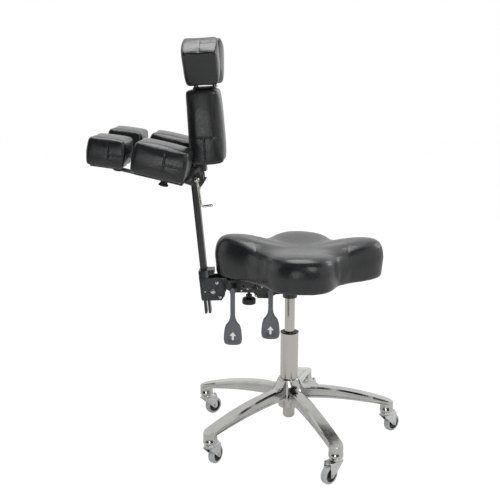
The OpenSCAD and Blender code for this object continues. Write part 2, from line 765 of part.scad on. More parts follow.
// The tension spring stands on the tray's bridge, under the disc on the knob's stud
spring_r = 9;
spring_wire = 2.2;
spring_turns = 4;
disc_h = 2;
spring_gap = 0.1;
stud_top = tray_top - housing_t - 4;
spring_low = bridge_z + spring_wire / 2 + spring_gap;
spring_high = stud_top - disc_h - spring_wire / 2 - spring_gap;
module tension_spring() {
    n = 8;
    m = spring_turns * n;
    rings = [for (i = [0:m]) let (
        a = 360 * i / n,
        z = spring_low + (spring_high - spring_low) * i / m)
        [for (j = [5:-1:0]) let (b = 60 * j, r = spring_r + spring_wire / 2 * cos(b))
        [tension_x + r * cos(a), r * sin(a), z + spring_wire / 2 * sin(b)]]];
    color(chrome_grey) skin(rings,
        [tension_x + spring_r, 0, spring_low], [tension_x + spring_r, 0, spring_high]);
}
tension_top = tray_top - belly_h - 10;
knob_round = 4;
disc_rim = 2;
module tension_knob() {
    r = tension_d / 2;
    low = tension_top - tension_h;
    color(steel_black) translate([tension_x, 0, 0]) union() {
        rotate_extrude() polygon(concat([[0, low], [r * 0.6, low]],
            arc([r - knob_round, low + knob_round + cut], knob_round, -60, 90, 6),
            [[r * 0.7, tension_top - tension_h * 0.35], [r * 0.42, tension_top],
            [0, tension_top]]));
        translate([0, 0, tension_top - cut])
            cylinder(h = stud_top - tension_top + cut, r = stud_d / 2);
        translate([0, 0, stud_top - disc_h]) cylinder(h = disc_h, r = spring_r + disc_rim);
    }
}

// Levers: a steel rod through the tray, and a moulded handle that hangs from its near end
handle_hub_wall = 1.5;
handle_hub_r = handle_stem_w / 2 + handle_hub_wall;
handle_hub_l = 16;
handle_skin = 2;
press_t = 3;
press_w = 12;
press_gap = 0.6;
ring_out = 2;
ring_w = 3;
sleeve_out = 3;
sleeve_w = 14;
module lever_rod(x) {
    far = housing_w / 2 + face_gap;
    color(steel_black) union() {
        y_rod(x, rod_z, rod_d / 2, handle_skin - handle_y, far + ring_w);
        y_rod(x, rod_z, rod_d / 2 + ring_out, far, far + ring_w - face_gap);
        y_rod(x, rod_z, rod_d / 2 + sleeve_out, -sleeve_w / 2, sleeve_w / 2);
        children();
    }
}
// The height lever's rod carries a tongue that presses the lift's release pin
module height_rod() {
    low = piston_top + release_rise + press_gap;
    root = lift_rod_x - ring_out;
    lever_rod(lift_rod_x) y_plate([[root, low], [release_d / 2, low],
        [release_d / 2, low + press_t], [root, low + press_t]], -press_w / 2, press_w / 2);
}
// Outline of a handle, hanging down from the rod: a slim stem that opens into a paddle
neck_r = 9;
foot_r = 8;
// Points of the paddle's edge: half width in shares of the paddle's, height in shares of its
// length above its foot
paddle_shares = [[0.82, 0.8], [0.97, 0.5], [1, 0.26]];
toe_share = 0.35;
dish_share = 1.6;
dish_up_share = 0.42;
dish_depth = 1.6;
function handle_half(l) = let (
    w = paddle_w / 2,
    s = handle_stem_w / 2,
    neck = paddle_l * 1.25 - l)
    concat([[s, -s], [s, neck]], arc([s + neck_r, neck], neck_r, 180, 225, 4),
    [for (p = paddle_shares) [w * p[0], paddle_l * p[1] - l]],
    arc([w - foot_r, foot_r + cut - l], foot_r, 0, -70, 5),
    [[w * toe_share, cut / 2 - l], [0, -l]]);
module handle(x, l) {
    half = handle_half(l);
    outline = concat(half, [for (i = [len(half) - 2:-1:0]) [-half[i][0], half[i][1]]]);
    dish_r = paddle_w * dish_share;
    face = -handle_y - handle_t / 2;
    color(handle_grey) difference() {
        union() {
            translate([x, face + handle_t, rod_z]) rotate([90, 0, 0])
                linear_extrude(handle_t) polygon(outline);
            y_rod(x, rod_z, handle_hub_r, face, handle_hub_l - handle_y);
        }
        y_rod(x, rod_z, rod_d / 2 + seat_gap, handle_skin - handle_y - seat_gap, handle_y);
        translate([x, face - dish_r + dish_depth, rod_z - l + paddle_l * dish_up_share])
            sphere(dish_r, $fn = 96);
    }
}

// Back bracket
cheek_y = cheek_gap / 2;
function on_post(h) = [post_x - h * sin(post_lean), tilt_z + h * cos(post_lean)];
module post_frame() {
    translate([post_x, 0, tilt_z]) rotate([0, -post_lean, 0]) children();
}
rivet_spots = [[tilt_x - 11, tilt_z - 25.5], [tilt_x + 8, tilt_z - 40]];
// Radii of the heads on the tilt pivot and on the two rivets
head_rs = [5.5, 7, 4.6];
guide_drop = 26;
// Outline of a cheek from the tilt pivot: its lower corner, its front, and its web's height
cheek_up = 12;
cheek_down = 51;
cheek_heel = [12, -49];
cheek_toe = [21, -36];
cheek_front = [24, -10];
cheek_shoulder = [-16, 12];
cheek_round = 14;
web_up = 4;
module bracket_cheeks() {
    pivot = [tilt_x, tilt_z];
    back = post_t / 2 + sleeve_wall;
    web_low = tilt_z + cheek_heel[1] + cut;
    shape = concat([on_post(cheek_up) - [back, 0], on_post(-cheek_down) - [back - ring_out, 0],
        pivot + cheek_heel, pivot + cheek_toe, pivot + cheek_front],
        arc(pivot, cheek_round, 5, 100, 8), [pivot + cheek_shoulder]);
    color(steel_grey) difference() {
        union() {
            y_plate(shape, cheek_y, cheek_y + cheek_t);
            y_plate(shape, -cheek_y - cheek_t, -cheek_y);
            translate([tilt_x - cheek_heel[0], -cheek_y - cut, web_low])
                cube([2 * cheek_heel[0], 2 * cheek_y + 2 * cut, web_up - cut]);
        }
        for (p = concat([pivot], rivet_spots))
            y_rod(p[0], p[1], tilt_pin_d / 2 + seat_gap, -housing_w, housing_w);
        post_frame() translate([0, 0, -guide_drop])
            y_rod(0, 0, guide_d / 2 + seat_gap, -housing_w, housing_w);
    }
}
// The sleeve's slotted lug, which the knob's bolt pinches round the post
lug_l = 15;
lug_w = 40;
lug_below = 7;
lug_slit = 2;
lock_up = 25;
lock_d = 6;
module post_sleeve() {
    out_x = post_t / 2 + sleeve_wall;
    color(steel_black) post_frame() difference() {
        union() {
            translate([-out_x, -cheek_y + seat_gap, -sleeve_below])
                cube([2 * out_x, cheek_gap - 2 * seat_gap, sleeve_below + sleeve_above]);
            translate([out_x - cut, -lug_w / 2, lock_up - lug_below])
                cube([lug_l + cut, lug_w, sleeve_above - lock_up + lug_below]);
        }
        translate([-post_t / 2 - run_gap, -post_w / 2 - run_gap, -sleeve_below - cut])
            cube([post_t + 2 * run_gap, post_w + 2 * run_gap,
            sleeve_below + sleeve_above + 2 * cut]);
        translate([0, 0, -guide_drop]) y_rod(0, 0, guide_d / 2 + seat_gap, -housing_w, housing_w);
        translate([out_x - 2 * cut, -lug_slit / 2, lock_up - lug_below - cut])
            cube([lug_l + 3 * cut, lug_slit, housing_w]);
        y_rod(out_x + lug_l / 2, lock_up, lock_d / 2 + run_gap, -housing_w, housing_w);
    }
}
module rivet(p, r) {
    y = cheek_y + cheek_t;
    y_rod(p[0], p[1], tilt_pin_d / 2, -y, y);
    for (s = [-1, 1])
        translate([p[0], s * y, p[1]]) rotate([s > 0 ? -90 : 90, 0, 0]) dome(r, r / 2);
}
module bracket_rivets() {
    y = cheek_y + cheek_t;
    spots = concat([[tilt_x, tilt_z]], rivet_spots);
    color(chrome_grey) union() {
        for (i = [0:2]) rivet(spots[i], head_rs[i]);
        post_frame() translate([0, 0, -guide_drop]) y_rod(0, 0, guide_d / 2, -y, y);
    }
}
lock_grip_l = 9;
lock_nut_l = 4;
module lock_knob() {
    x = post_t / 2 + sleeve_wall + lug_l / 2;
    y = lug_w / 2;
    color(steel_black) post_frame() union() {
        y_rod(x, lock_up, lock_d / 2, -y - face_gap - cut, y + face_gap + cut);
        y_rod(x, lock_up, lock_d * 0.9, -y - lock_grip_l, -y - face_gap);
        y_rod(x, lock_up, lock_d * 0.8, y + face_gap, y + lock_nut_l);
    }
}

// Post: a flat bar, slotted below, with a barrel welded to its top through a gusset
barrel_out = 0.8;
barrel_half = post_w / 2 + barrel_out;
gusset_low = 34;
gusset_high = 6;
gusset_in = 3;
gusset_tip = [2, 9];
module post() {
    gusset = [on_post(post_above - gusset_low) + [post_t / 2 - gusset_in, 0],
        [head_x + barrel_d * 0.4, head_z - gusset_in], [head_x - gusset_tip[0], head_z + gusset_tip[1]],
        on_post(post_above - gusset_high) - [post_t / 2 - gusset_in - cut, 0]];
    color(steel_satin) difference() {
        union() {
            post_frame() translate([-post_t / 2, -post_w / 2, -post_below])
                cube([post_t, post_w, post_below + post_above]);
            y_rod(head_x, head_z, barrel_d / 2, -barrel_half, barrel_half);
            y_plate(gusset, cut - post_w / 2, post_w / 2 - cut);
        }
        y_rod(head_x, head_z, bolt_d / 2 + run_gap, -housing_w, housing_w);
        post_frame() translate([-slot_w / 2, -post_w, -post_below - cut])
            cube([slot_w, 2 * post_w, slot_l + cut]);
    }
}

// Head: a yoke with two cheeks, slotted for the forked plate that carries both arms
yoke_y = barrel_half + face_gap;
yoke_out = yoke_y + yoke_t;
module back_frame() {
    translate([back_x, 0, back_z]) rotate([0, -back_lean, 0]) children();
}
spine_x = -14;
spine_down = 20;
block_l = 20;
block_up = 3;
module arm_frame() {
    translate([arm_pivot_x, 0, arm_pivot_z]) rotate([0, inner_rise, 0]) children();
}
carrier_top = -arm_plate_t - face_gap;
// Where the forked plate's neck starts and ends ahead of the arms' pivots, and its cross arm
neck_start = 18;
neck_end = 33;
hook_l = 15;
slot_back = 60;
// Outline of a yoke cheek from the head's pivot, beyond its round front
yoke_tail = [[4.3, 30], [-10, 30], [-26, 22], [-54, 22], [-57, 8], [-50, -6]];
yoke_front_shares = [[0.25, -0.433], [0.5, 0], [0.3, 0.42]];
module head_yoke() {
    pivot = [head_x, head_z];
    shape = concat([for (p = yoke_front_shares) pivot + yoke_d * p],
        [for (p = yoke_tail) pivot + p], [pivot + yoke_d * [-0.25, -0.433]]);
    color(steel_black) difference() {
        union() {
            y_plate(shape, yoke_y, yoke_out);
            y_plate(shape, -yoke_out, -yoke_y);
            back_frame() translate([spine_x - block_l, -yoke_out, -spine_down])
                cube([block_l, 2 * yoke_out, spine_down - block_up]);
        }
        y_rod(head_x, head_z, bolt_d / 2 + seat_gap, -housing_w, housing_w);
        arm_frame() translate([-slot_back, -arm_y, carrier_top - carrier_t - seat_gap])
            cube([slot_back + neck_end + hook_l + seat_gap, 2 * arm_y, carrier_t + 2 * seat_gap]);
        back_frame() translate([spine_x, -yoke_out - cut, -2 * spine_down])
            cube([slot_back, 2 * yoke_out + 2 * cut, 3 * spine_down]);
    }
}
washer_t = 3;
washer_share = 0.31;
bolt_end = 6;
cap_gap = 0.6;
module pivot_hardware() {
    y = yoke_out + washer_t;
    cap_y = y + clamp_eye_t + cap_gap;
    color(chrome_grey) union() {
        y_rod(head_x, head_z, bolt_d / 2, -cap_y - cut / 2, y + bolt_end);
        translate([head_x, -cap_y, head_z]) rotate([90, 0, 0]) dome(bolt_d * 0.65, bolt_d * 0.4);
        y_rod(head_x, head_z, yoke_d * washer_share, -y, -yoke_out);
        y_rod(head_x, head_z, yoke_d * washer_share, yoke_out, y);
        translate([head_x, y, head_z]) rotate([-90, 0, 0])
            cylinder(h = bolt_end, r = bolt_d * 0.9, $fn = 6);
    }
}
// The clamp lever is a rod bent through a quarter turn, with an eye round the pivot bolt
clamp_eye_t = 6;
clamp_eye_gap = 0.2;
clamp_y = -(yoke_out + washer_t + face_gap + clamp_eye_t / 2);
clamp_bend = 9;
clamp_lean = 8;
module clamp_lever() {
    r = clamp_d / 2;
    drop = clamp_l - clamp_bend;
    color(chrome_grey) translate([head_x, clamp_y, head_z]) rotate([0, -clamp_lean, 0])
        difference() {
        union() {
            translate([0, 0, -drop]) cylinder(h = drop - bolt_d / 2 - cut, r = r);
            translate([clamp_bend, 0, -drop]) rotate([90, 0, 0]) rotate([0, 0, 180])
                rotate_extrude(angle = 90) translate([clamp_bend, 0]) circle(r);
            translate([clamp_bend, 0, -drop - clamp_bend]) rotate([0, 90, 0])
                cylinder(h = clamp_reach - clamp_bend - r, r = r);
            translate([clamp_reach - r, 0, -drop - clamp_bend]) sphere(r);
            y_rod(0, 0, bolt_d * 0.95, clamp_eye_gap - clamp_eye_t / 2, clamp_eye_t / 2);
        }
        y_rod(0, 0, bolt_d / 2 + run_gap, -clamp_eye_t, clamp_eye_t);
    }
}

// Back pad on its spine, and the bracket on top of it
module back_spine() {
    color(steel_black) back_frame() translate([spine_x, -spine_w / 2, -spine_down])
        cube([spine_t, spine_w, back_h + spine_down]);
}
module back_pad() {
    color(skin_black) back_frame() difference() {
        translate([-back_t / 2, 0, back_h / 2]) rotate([0, 90, 0])
            pad(back_h, back_w, back_t, (back_top_t - back_t) / back_t);
        translate([spine_x - face_gap, -spine_w / 2 - face_gap, -cut])
            cube([spine_t + 2 * face_gap, spine_w + 2 * face_gap, back_h + 2 * cut]);
    }
}
// The bracket is a foot plate with four ears, which hold a hinge pin for each top pad
foot_t = 4;
foot_l = 58;
foot_w = 68;
ear_foot = 9;
top_x = spine_x + top_ahead;
top_ear_x = 24;
top_ear_t = 5;
top_eye_r = top_pin_d * 0.95;
module top_ears(s) {
    for (e = [-1, 1]) translate([top_x + e * top_ear_x - top_ear_t / 2, 0, 0])
        rotate([90, 0, 90]) linear_extrude(top_ear_t) polygon(concat(
        [[s * (top_hinge_y - ear_foot), foot_t / 2]],
        [for (p = arc([top_hinge_y, top_hinge_up], top_eye_r, 180, 0, 8)) [s * p[0], p[1]]],
        [[s * (top_hinge_y + ear_foot), foot_t / 2]]));
    translate([top_x - top_ear_x, s * top_hinge_y, top_hinge_up]) rotate([0, 90, 0])
        cylinder(h = 2 * top_ear_x, r = top_pin_d / 2);
}
module top_bracket() {
    color(steel_black) back_frame() translate([0, 0, back_h]) union() {
        translate([top_x - foot_l / 2, -foot_w / 2, face_gap]) cube([foot_l, foot_w, foot_t]);
        top_ears(-1);
        top_ears(1);
    }
}
// Frame of a top pad: X stays, +Y runs outward along the pad, +Z out of its inner face
module top_frame(s) {
    back_frame() translate([top_x, s * top_hinge_y, back_h + top_hinge_up])
        mirror([0, s > 0 ? 0 : 1, 0]) rotate([top_rise, 0, 0]) children();
}
end_face = 15.3;
under_face = 51;
top_plate_t = 3;
top_plate_in = 10;
top_plate_down = 16;
strap_share = 0.8;
module top_plate(s) {
    inner = top_ear_x - top_ear_t / 2 - face_gap;
    strap = top_eye_r * strap_share;
    wide = top_w - 2 * top_plate_in;
    color(steel_black) top_frame(s) difference() {
        union() {
            translate([-wide / 2, end_face - top_plate_t, top_plate_down - under_face])
                cube([wide, top_plate_t, top_t - 2 * top_plate_down]);
            translate([-inner, 0, 0]) rotate([0, 90, 0]) cylinder(h = 2 * inner, r = top_eye_r);
            translate([-inner, 0, -strap]) cube([2 * inner, end_face - cut, 2 * strap]);
        }
        translate([-top_w, 0, 0]) rotate([0, 90, 0])
            cylinder(h = 2 * top_w, r = top_pin_d / 2 + run_gap);
    }
}
module top_pad(s) {
    color(skin_black) top_frame(s)
        translate([0, end_face + top_l / 2 + face_gap, -under_face]) rotate([0, 0, 90])
        pad(top_l, top_w, top_t);
}

// Arms. Frame of an inner pad: +X runs from its pivot towards the head, +Z out of the pad.
module inner_frame(s) {
    translate([arm_pivot_x, s * arm_y, arm_pivot_z]) rotate([0, inner_rise, 0]) children();
}
outer_x = inner_back - inner_l - arm_gap - outer_pivot_in;
tongue_w = 30;
tongue_t = 5;
tongue_lap = 24;
stub_r = 8;
knob_stud_r = 4;
outer_boss_h = 1.6;
outer_plate_t = 3;
outer_stub_r = 6;
outer_disc_r = 10;
plate_in = 12;
plate_side_in = 14;
outer_plate_in = 10;
knob_grip = 3;
module arm_carrier() {
    outer = arm_y + tongue_w / 2;
    notch = yoke_y - seat_gap * 10;
    hook = neck_end + hook_l;
    color(steel_black) arm_frame() translate([0, 0, carrier_top - carrier_t]) difference() {
        linear_extrude(carrier_t) union() {
            polygon([[neck_start, -outer], [hook, -outer], [hook, -notch], [neck_end, -notch],
                [neck_end, notch], [hook, notch], [hook, outer], [neck_start, outer]]);
            for (s = [-1, 1]) {
                translate([0, s * arm_y]) circle(tongue_w / 2);
                translate([0, s * arm_y - tongue_w / 2]) square([neck_start + cut, tongue_w]);
            }
        }
        for (s = [-1, 1]) translate([0, s * arm_y, -cut])
            cylinder(h = carrier_t + 2 * cut, r = stub_r + run_gap);
    }
}
module inner_plate(s) {
    long = inner_l - 2 * plate_in;
    wide = arm_w - 2 * plate_side_in;
    mid = inner_back - inner_l / 2;
    tongue_z = -arm_plate_t - tongue_t;
    stub_h = carrier_t + 2 * face_gap;
    color(steel_black) inner_frame(s) difference() {
        union() {
            translate([mid - long / 2, -wide / 2, -arm_plate_t]) cube([long, wide, arm_plate_t]);
            translate([outer_x, -tongue_w / 2, tongue_z])
                cube([mid - long / 2 + tongue_lap - outer_x, tongue_w, tongue_t]);
            translate([outer_x, 0, tongue_z]) cylinder(h = tongue_t, r = tongue_w / 2);
            translate([0, 0, -arm_plate_t - stub_h]) cylinder(h = stub_h + cut, r = stub_r);
            translate([0, 0, -arm_plate_t - carrier_t - arm_knob_h])
                cylinder(h = carrier_t + arm_knob_h, r = knob_stud_r);
        }
        translate([outer_x, 0, tongue_z - cut])
            cylinder(h = tongue_t + 2 * cut, r = outer_stub_r + run_gap);
    }
}
module inner_pad(s) {
    color(skin_black) inner_frame(s) translate([inner_back - inner_l / 2, 0, face_gap])
        pad(inner_l, arm_w, inner_t);
}
module arm_knob(s) {
    r = arm_knob_d / 2;
    bore = knob_stud_r + run_gap;
    top = -arm_plate_t - carrier_t - 3 * face_gap;
    low = top - arm_knob_h;
    color(steel_black) inner_frame(s) rotate_extrude() polygon(concat(
        [[bore, low], [r * 0.6, low]],
        arc([r - knob_grip, low + knob_grip + cut / 2], knob_grip, -60, 90, 5),
        [[r * 0.75, top - arm_knob_h * 0.3], [r * 0.62, top], [bore, top]]));
}
// Frame of an outer pad, on the boss that turns in the inner plate's tongue
module outer_frame(s) {
    inner_frame(s) translate([outer_x, 0, outer_boss_h - arm_plate_t])
        rotate([0, outer_rise - inner_rise, 0]) children();
}
module outer_plate(s) {
    long = outer_l - 2 * outer_plate_in;
    wide = arm_w - 2 * plate_side_in;
    low = -arm_plate_t - tongue_t - face_gap;
    color(steel_black) union() {
        outer_frame(s) translate([outer_pivot_in - outer_plate_in - long, -wide / 2, 0])
            cube([long, wide, outer_plate_t]);
        inner_frame(s) translate([outer_x, 0, 0]) union() {
            translate([0, 0, face_gap - arm_plate_t])
                cylinder(h = outer_plate_t, r = outer_disc_r);
            translate([0, 0, low])
                cylinder(h = tongue_t + 2 * face_gap + cut, r = outer_stub_r);
            translate([0, 0, low - outer_plate_t])
                cylinder(h = outer_plate_t, r = outer_disc_r);
        }
    }
}
module outer_pad(s) {
    color(skin_black) outer_frame(s)
        translate([outer_pivot_in - outer_l / 2, 0, outer_plate_t + face_gap])
        pad(outer_l, arm_w, outer_t);
}

star_base();
lift_tube();
tube_bush();
lift_cap();
caster_stems();
caster_fork(0);  // caster_fork_1
caster_core(0);  // caster_core_1
caster_tyre(0);  // caster_tyre_1
caster_fork(1);  // caster_fork_2
caster_core(1);  // caster_core_2
caster_tyre(1);  // caster_tyre_2
caster_fork(2);  // caster_fork_3
caster_core(2);  // caster_core_3
caster_tyre(2);  // caster_tyre_3
caster_fork(3);  // caster_fork_4
caster_core(3);  // caster_core_4
caster_tyre(3);  // caster_tyre_4
caster_fork(4);  // caster_fork_5
caster_core(4);  // caster_core_5
caster_tyre(4);  // caster_tyre_5
gas_piston();
release_pin();
mechanism_housing();
cone_socket();
seat_plate();
seat_board();
seat_cushion();
seat_screws();
tension_spring();
tension_knob();
height_rod();
handle(lift_rod_x, lift_handle_l);  // height_handle
lever_rod(tilt_rod_x);  // tilt_rod
handle(tilt_rod_x, tilt_handle_l);  // tilt_handle
bracket_cheeks();
post_sleeve();
bracket_rivets();
lock_knob();
post();
head_yoke();
pivot_hardware();
clamp_lever();
back_spine();
back_pad();
top_bracket();
arm_carrier();
arm_knob(-1);  // near_arm_knob
inner_plate(-1);  // near_inner_plate
inner_pad(-1);  // near_inner_pad
outer_plate(-1);  // near_outer_plate
outer_pad(-1);  // near_outer_pad
arm_knob(1);  // far_arm_knob
inner_plate(1);  // far_inner_plate
inner_pad(1);  // far_inner_pad
outer_plate(1);  // far_outer_plate
outer_pad(1);  // far_outer_pad
top_plate(-1);  // near_top_plate
top_pad(-1);  // near_top_pad
top_plate(1);  // far_top_plate
top_pad(1);  // far_top_pad
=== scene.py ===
"""Artist's chair with a lobed seat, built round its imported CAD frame. Metres; +X is the
front of the seat, +Y the far side and +Z up. Seen from the side that carries the levers."""

import json
import math

import bmesh
import bpy
import numpy as np
from mathutils import Matrix, Vector
from mathutils.bvhtree import BVHTree
from mathutils.kdtree import KDTree

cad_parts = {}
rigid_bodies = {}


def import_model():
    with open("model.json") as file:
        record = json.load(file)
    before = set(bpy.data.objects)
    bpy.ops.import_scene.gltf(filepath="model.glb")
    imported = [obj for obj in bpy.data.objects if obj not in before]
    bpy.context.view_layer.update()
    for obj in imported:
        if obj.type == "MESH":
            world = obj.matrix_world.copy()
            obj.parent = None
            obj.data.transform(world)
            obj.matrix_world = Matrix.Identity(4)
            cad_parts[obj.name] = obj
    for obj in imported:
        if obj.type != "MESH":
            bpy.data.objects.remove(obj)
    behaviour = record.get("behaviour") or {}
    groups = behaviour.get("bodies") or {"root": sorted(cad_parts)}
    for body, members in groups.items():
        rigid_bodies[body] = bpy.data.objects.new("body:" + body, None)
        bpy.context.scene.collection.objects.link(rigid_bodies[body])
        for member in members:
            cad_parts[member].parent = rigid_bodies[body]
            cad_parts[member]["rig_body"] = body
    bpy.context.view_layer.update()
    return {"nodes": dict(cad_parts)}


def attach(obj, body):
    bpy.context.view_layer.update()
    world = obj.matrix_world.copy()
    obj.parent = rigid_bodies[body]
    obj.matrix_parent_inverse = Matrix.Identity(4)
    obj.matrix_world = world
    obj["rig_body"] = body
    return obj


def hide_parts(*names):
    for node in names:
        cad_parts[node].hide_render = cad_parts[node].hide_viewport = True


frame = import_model()
cad_nodes = frame["nodes"]
mm = 0.001

# ---------------------------------------------------------------------------------------
# Star base: one aluminium casting, ground and polished to a mirror on its outer faces. Each
# leg is an open channel with a broad flat back, crisp shoulders and a shallow side panel,
# and ends in a boss that takes a caster stem.
# ---------------------------------------------------------------------------------------
LEG_TURN, STEM_CIRCLE = 223.4, 280 * mm
HUB_LOW, HUB_HIGH, HUB_RADIUS, HUB_BORE = 94 * mm, 178 * mm, 30 * mm, 25 * mm
CREST_HUB, CREST_TIP = 150 * mm, 101 * mm
LEG_DEPTH, LEG_TIP_DEPTH = 30 * mm, 13 * mm
LEG_WIDTH, BOSS_WIDTH = 34 * mm, 38 * mm
FACET, LEG_WALL, BOSS_LOW = 16 * mm, 5 * mm, 66 * mm
LEG_START, LEG_FLAT = 26.5 * mm, 45 * mm
CREST_POWER = 1.75
SHOULDER_DROP, CHANNEL_END, PANEL_DEPTH = 0.12, 0.84, 1.4 * mm
LEG_STATIONS, END_STATIONS = 44, 10


def linear(hex_colour):
    """sRGB hex to the linear colour that a shader takes."""
    parts = [int(hex_colour[i : i + 2], 16) / 255 for i in (1, 3, 5)]
    return [c / 12.92 if c <= 0.04045 else ((c + 0.055) / 1.055) ** 2.4 for c in parts] + [1.0]


def put(tree, kind, inputs=None, **settings):
    """Adds a node; an input is a value or another node's output socket."""
    node = tree.nodes.new(kind)
    for key, value in settings.items():
        setattr(node, key, value)
    for key, value in (inputs or {}).items():
        if isinstance(value, bpy.types.NodeSocket):
            tree.links.new(value, node.inputs[key])
        else:
            node.inputs[key].default_value = value
    return node


def new_material(name, **sockets):
    """A material with its shader's own sockets set; returns it and the shader."""
    material = bpy.data.materials.new(name)
    material.use_nodes = True
    shader = material.node_tree.nodes["Principled BSDF"]
    for key, value in sockets.items():
        shader.inputs[key.replace("_", " ").title().replace("Ior", "IOR")].default_value = value
    return material, shader


def noise(shader, scale, detail=2.0, roughness=0.5, stretch=None):
    """A noise in object coordinates, stretched where a finish has a direction."""
    tree = shader.id_data
    where = put(tree, "ShaderNodeTexCoord").outputs["Object"]
    if stretch:
        where = put(tree, "ShaderNodeMapping", {"Vector": where, "Scale": stretch}).outputs["Vector"]
    sizes = {"Vector": where, "Scale": scale, "Detail": detail, "Roughness": roughness}
    return put(tree, "ShaderNodeTexNoise", sizes).outputs["Fac"]


def two_tone(shader, share, first, second):
    """Colours a shader between two hex colours."""
    colours = {"Factor": share, 6: linear(first), 7: linear(second)}
    mix = put(shader.id_data, "ShaderNodeMix", colours, data_type="RGBA")
    shader.id_data.links.new(mix.outputs[2], shader.inputs["Base Color"])


def rough_between(shader, share, low, high, start=0.0, stop=1.0):
    """Spreads a shader's roughness between two values."""
    ends = {"Value": share, "From Min": start, "From Max": stop, "To Min": low, "To Max": high}
    spread = put(shader.id_data, "ShaderNodeMapRange", ends)
    shader.id_data.links.new(spread.outputs["Result"], shader.inputs["Roughness"])


def raised(shader, height, strength, distance):
    """Gives a shader a fine relief."""
    relief = {"Strength": strength, "Distance": distance, "Height": height}
    bump = put(shader.id_data, "ShaderNodeBump", relief)
    shader.id_data.links.new(bump.outputs["Normal"], shader.inputs["Normal"])


# Cast aluminium, buffed: a near-mirror that keeps long, faint waves and fine buffing haze.
cast_aluminium, shader = new_material("polished_cast_aluminium", metallic=1.0)
haze = noise(shader, 38.0, 5.0)
rough_between(shader, haze, 0.12, 0.2, 0.3, 0.7)
two_tone(shader, haze, "#a2a2a0", "#c2c1be")
wave = noise(shader, 24.0, 2.0)
raised(shader, wave, 0.16, 0.002)


def linked(name, data):
    """A new object in the scene."""
    thing = bpy.data.objects.new(name, data)
    bpy.context.scene.collection.objects.link(thing)
    return thing


def new_piece(name, vertices, faces, material, body, replaces=(), slot=None, smooth_angle=40):
    """A finished mesh at the origin that rides on a body and stands for CAD nodes."""
    mesh = bpy.data.meshes.new(name)
    mesh.from_pydata([tuple(v) for v in vertices], [], faces)
    piece = linked(name, mesh)
    finish_piece(piece, material, body, replaces, smooth_angle)
    return piece


def finish_piece(piece, material, body, replaces=(), smooth_angle=40, turn_out=True):
    """Merges doubles, turns faces outwards, smooths and joins the piece to the frame."""
    bm = bmesh.new()
    bm.from_mesh(piece.data)
    bmesh.ops.remove_doubles(bm, verts=bm.verts, dist=1e-6)
    if turn_out:
        bmesh.ops.recalc_face_normals(bm, faces=bm.faces)
    for face in bm.faces:
        face.smooth = True
    for edge in bm.edges:
        edge.smooth = len(edge.link_faces) == 2 and edge.calc_face_angle(0) < math.radians(smooth_angle)
    bm.to_mesh(piece.data)
    bm.free()
    piece.data.materials.clear()
    piece.data.materials.append(material)
    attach(piece, body)
    if replaces:
        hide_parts(*replaces)


def baked(piece):
    """Applies a piece's modifiers and keeps the plain mesh."""
    graph = bpy.context.evaluated_depsgraph_get()
    mesh = bpy.data.meshes.new_from_object(piece.evaluated_get(graph))
    old = piece.data
    piece.modifiers.clear()
    piece.data = mesh
    bpy.data.meshes.remove(old)


def bevelled(piece, width, segments=2, angle=32):
    """Rounds a piece's sharp edges, as a tool or a mould leaves them."""
    bevel = piece.modifiers.new("edge", "BEVEL")
    bevel.width = width
    bevel.segments = segments
    bevel.limit_method = "ANGLE"
    bevel.angle_limit = math.radians(angle)
    bevel.harden_normals = False
    baked(piece)


def leg_section(r):
    """The closed outline of a leg across its length at radius r, as (y, z) points."""
    share = max(0.0, (r - LEG_FLAT) / (STEM_CIRCLE - LEG_FLAT))
    t = min(1.0, share)
    drop = 1 - share**CREST_POWER
    climb = max(0.0, 1 - (r - LEG_START) / (20 * mm))
    crest = CREST_TIP + (CREST_HUB - CREST_TIP) * drop + (HUB_HIGH - CREST_HUB) * climb**2
    low = CREST_HUB - LEG_DEPTH - (CREST_HUB - LEG_DEPTH - CREST_TIP + LEG_TIP_DEPTH) * t**CREST_POWER
    half = (LEG_WIDTH + (BOSS_WIDTH - LEG_WIDTH) * t) / 2 - 0.5 * mm
    facet = (FACET + (BOSS_WIDTH - 4 * mm - FACET) * t**0.7) / 2
    shoulder = max(crest - (CREST_HUB - low) * SHOULDER_DROP * (1 - 0.2 * t), low + 3 * mm)
    roof = min(crest, CREST_HUB) - LEG_WALL
    fill = min(1.0, max(0.0, (t - CHANNEL_END) / 0.06))
    roof = low + mm + (roof - low - mm) * (1 - fill)
    panel = min(PANEL_DEPTH, (shoulder - low) * 0.12)
    p1 = low + (shoulder - low) * 0.22
    p2 = low + (shoulder - low) * 0.8
    right = [(half, low), (half, p1), (half - panel, p1 + 1.2 * mm), (half - panel, p2 - 1.2 * mm)]
    right += [(half, p2), (half, shoulder), (facet, crest)]
    left = [(-y, z) for y, z in reversed(right)]
    ceiling = max(low + 0.5 * mm, min(roof, shoulder - LEG_WALL * 0.6))
    inside = [(-half + LEG_WALL, low), (-half + LEG_WALL, ceiling), (-facet * 0.7, max(roof, ceiling))]
    return right + left + inside + [(-y, z) for y, z in reversed(inside)]


def lofted(rings):
    """Vertices and faces of a closed skin over rings of as many points each, flat at its ends."""
    n, last = len(rings[0]), len(rings) - 1
    faces = []
    for k in range(last):
        for i in range(n):
            j = (i + 1) % n
            faces.append((k * n + i, k * n + j, (k + 1) * n + j, (k + 1) * n + i))
    faces += [tuple(range(n)), tuple(reversed(range(last * n, (last + 1) * n)))]
    return [p for ring in rings for p in ring], faces


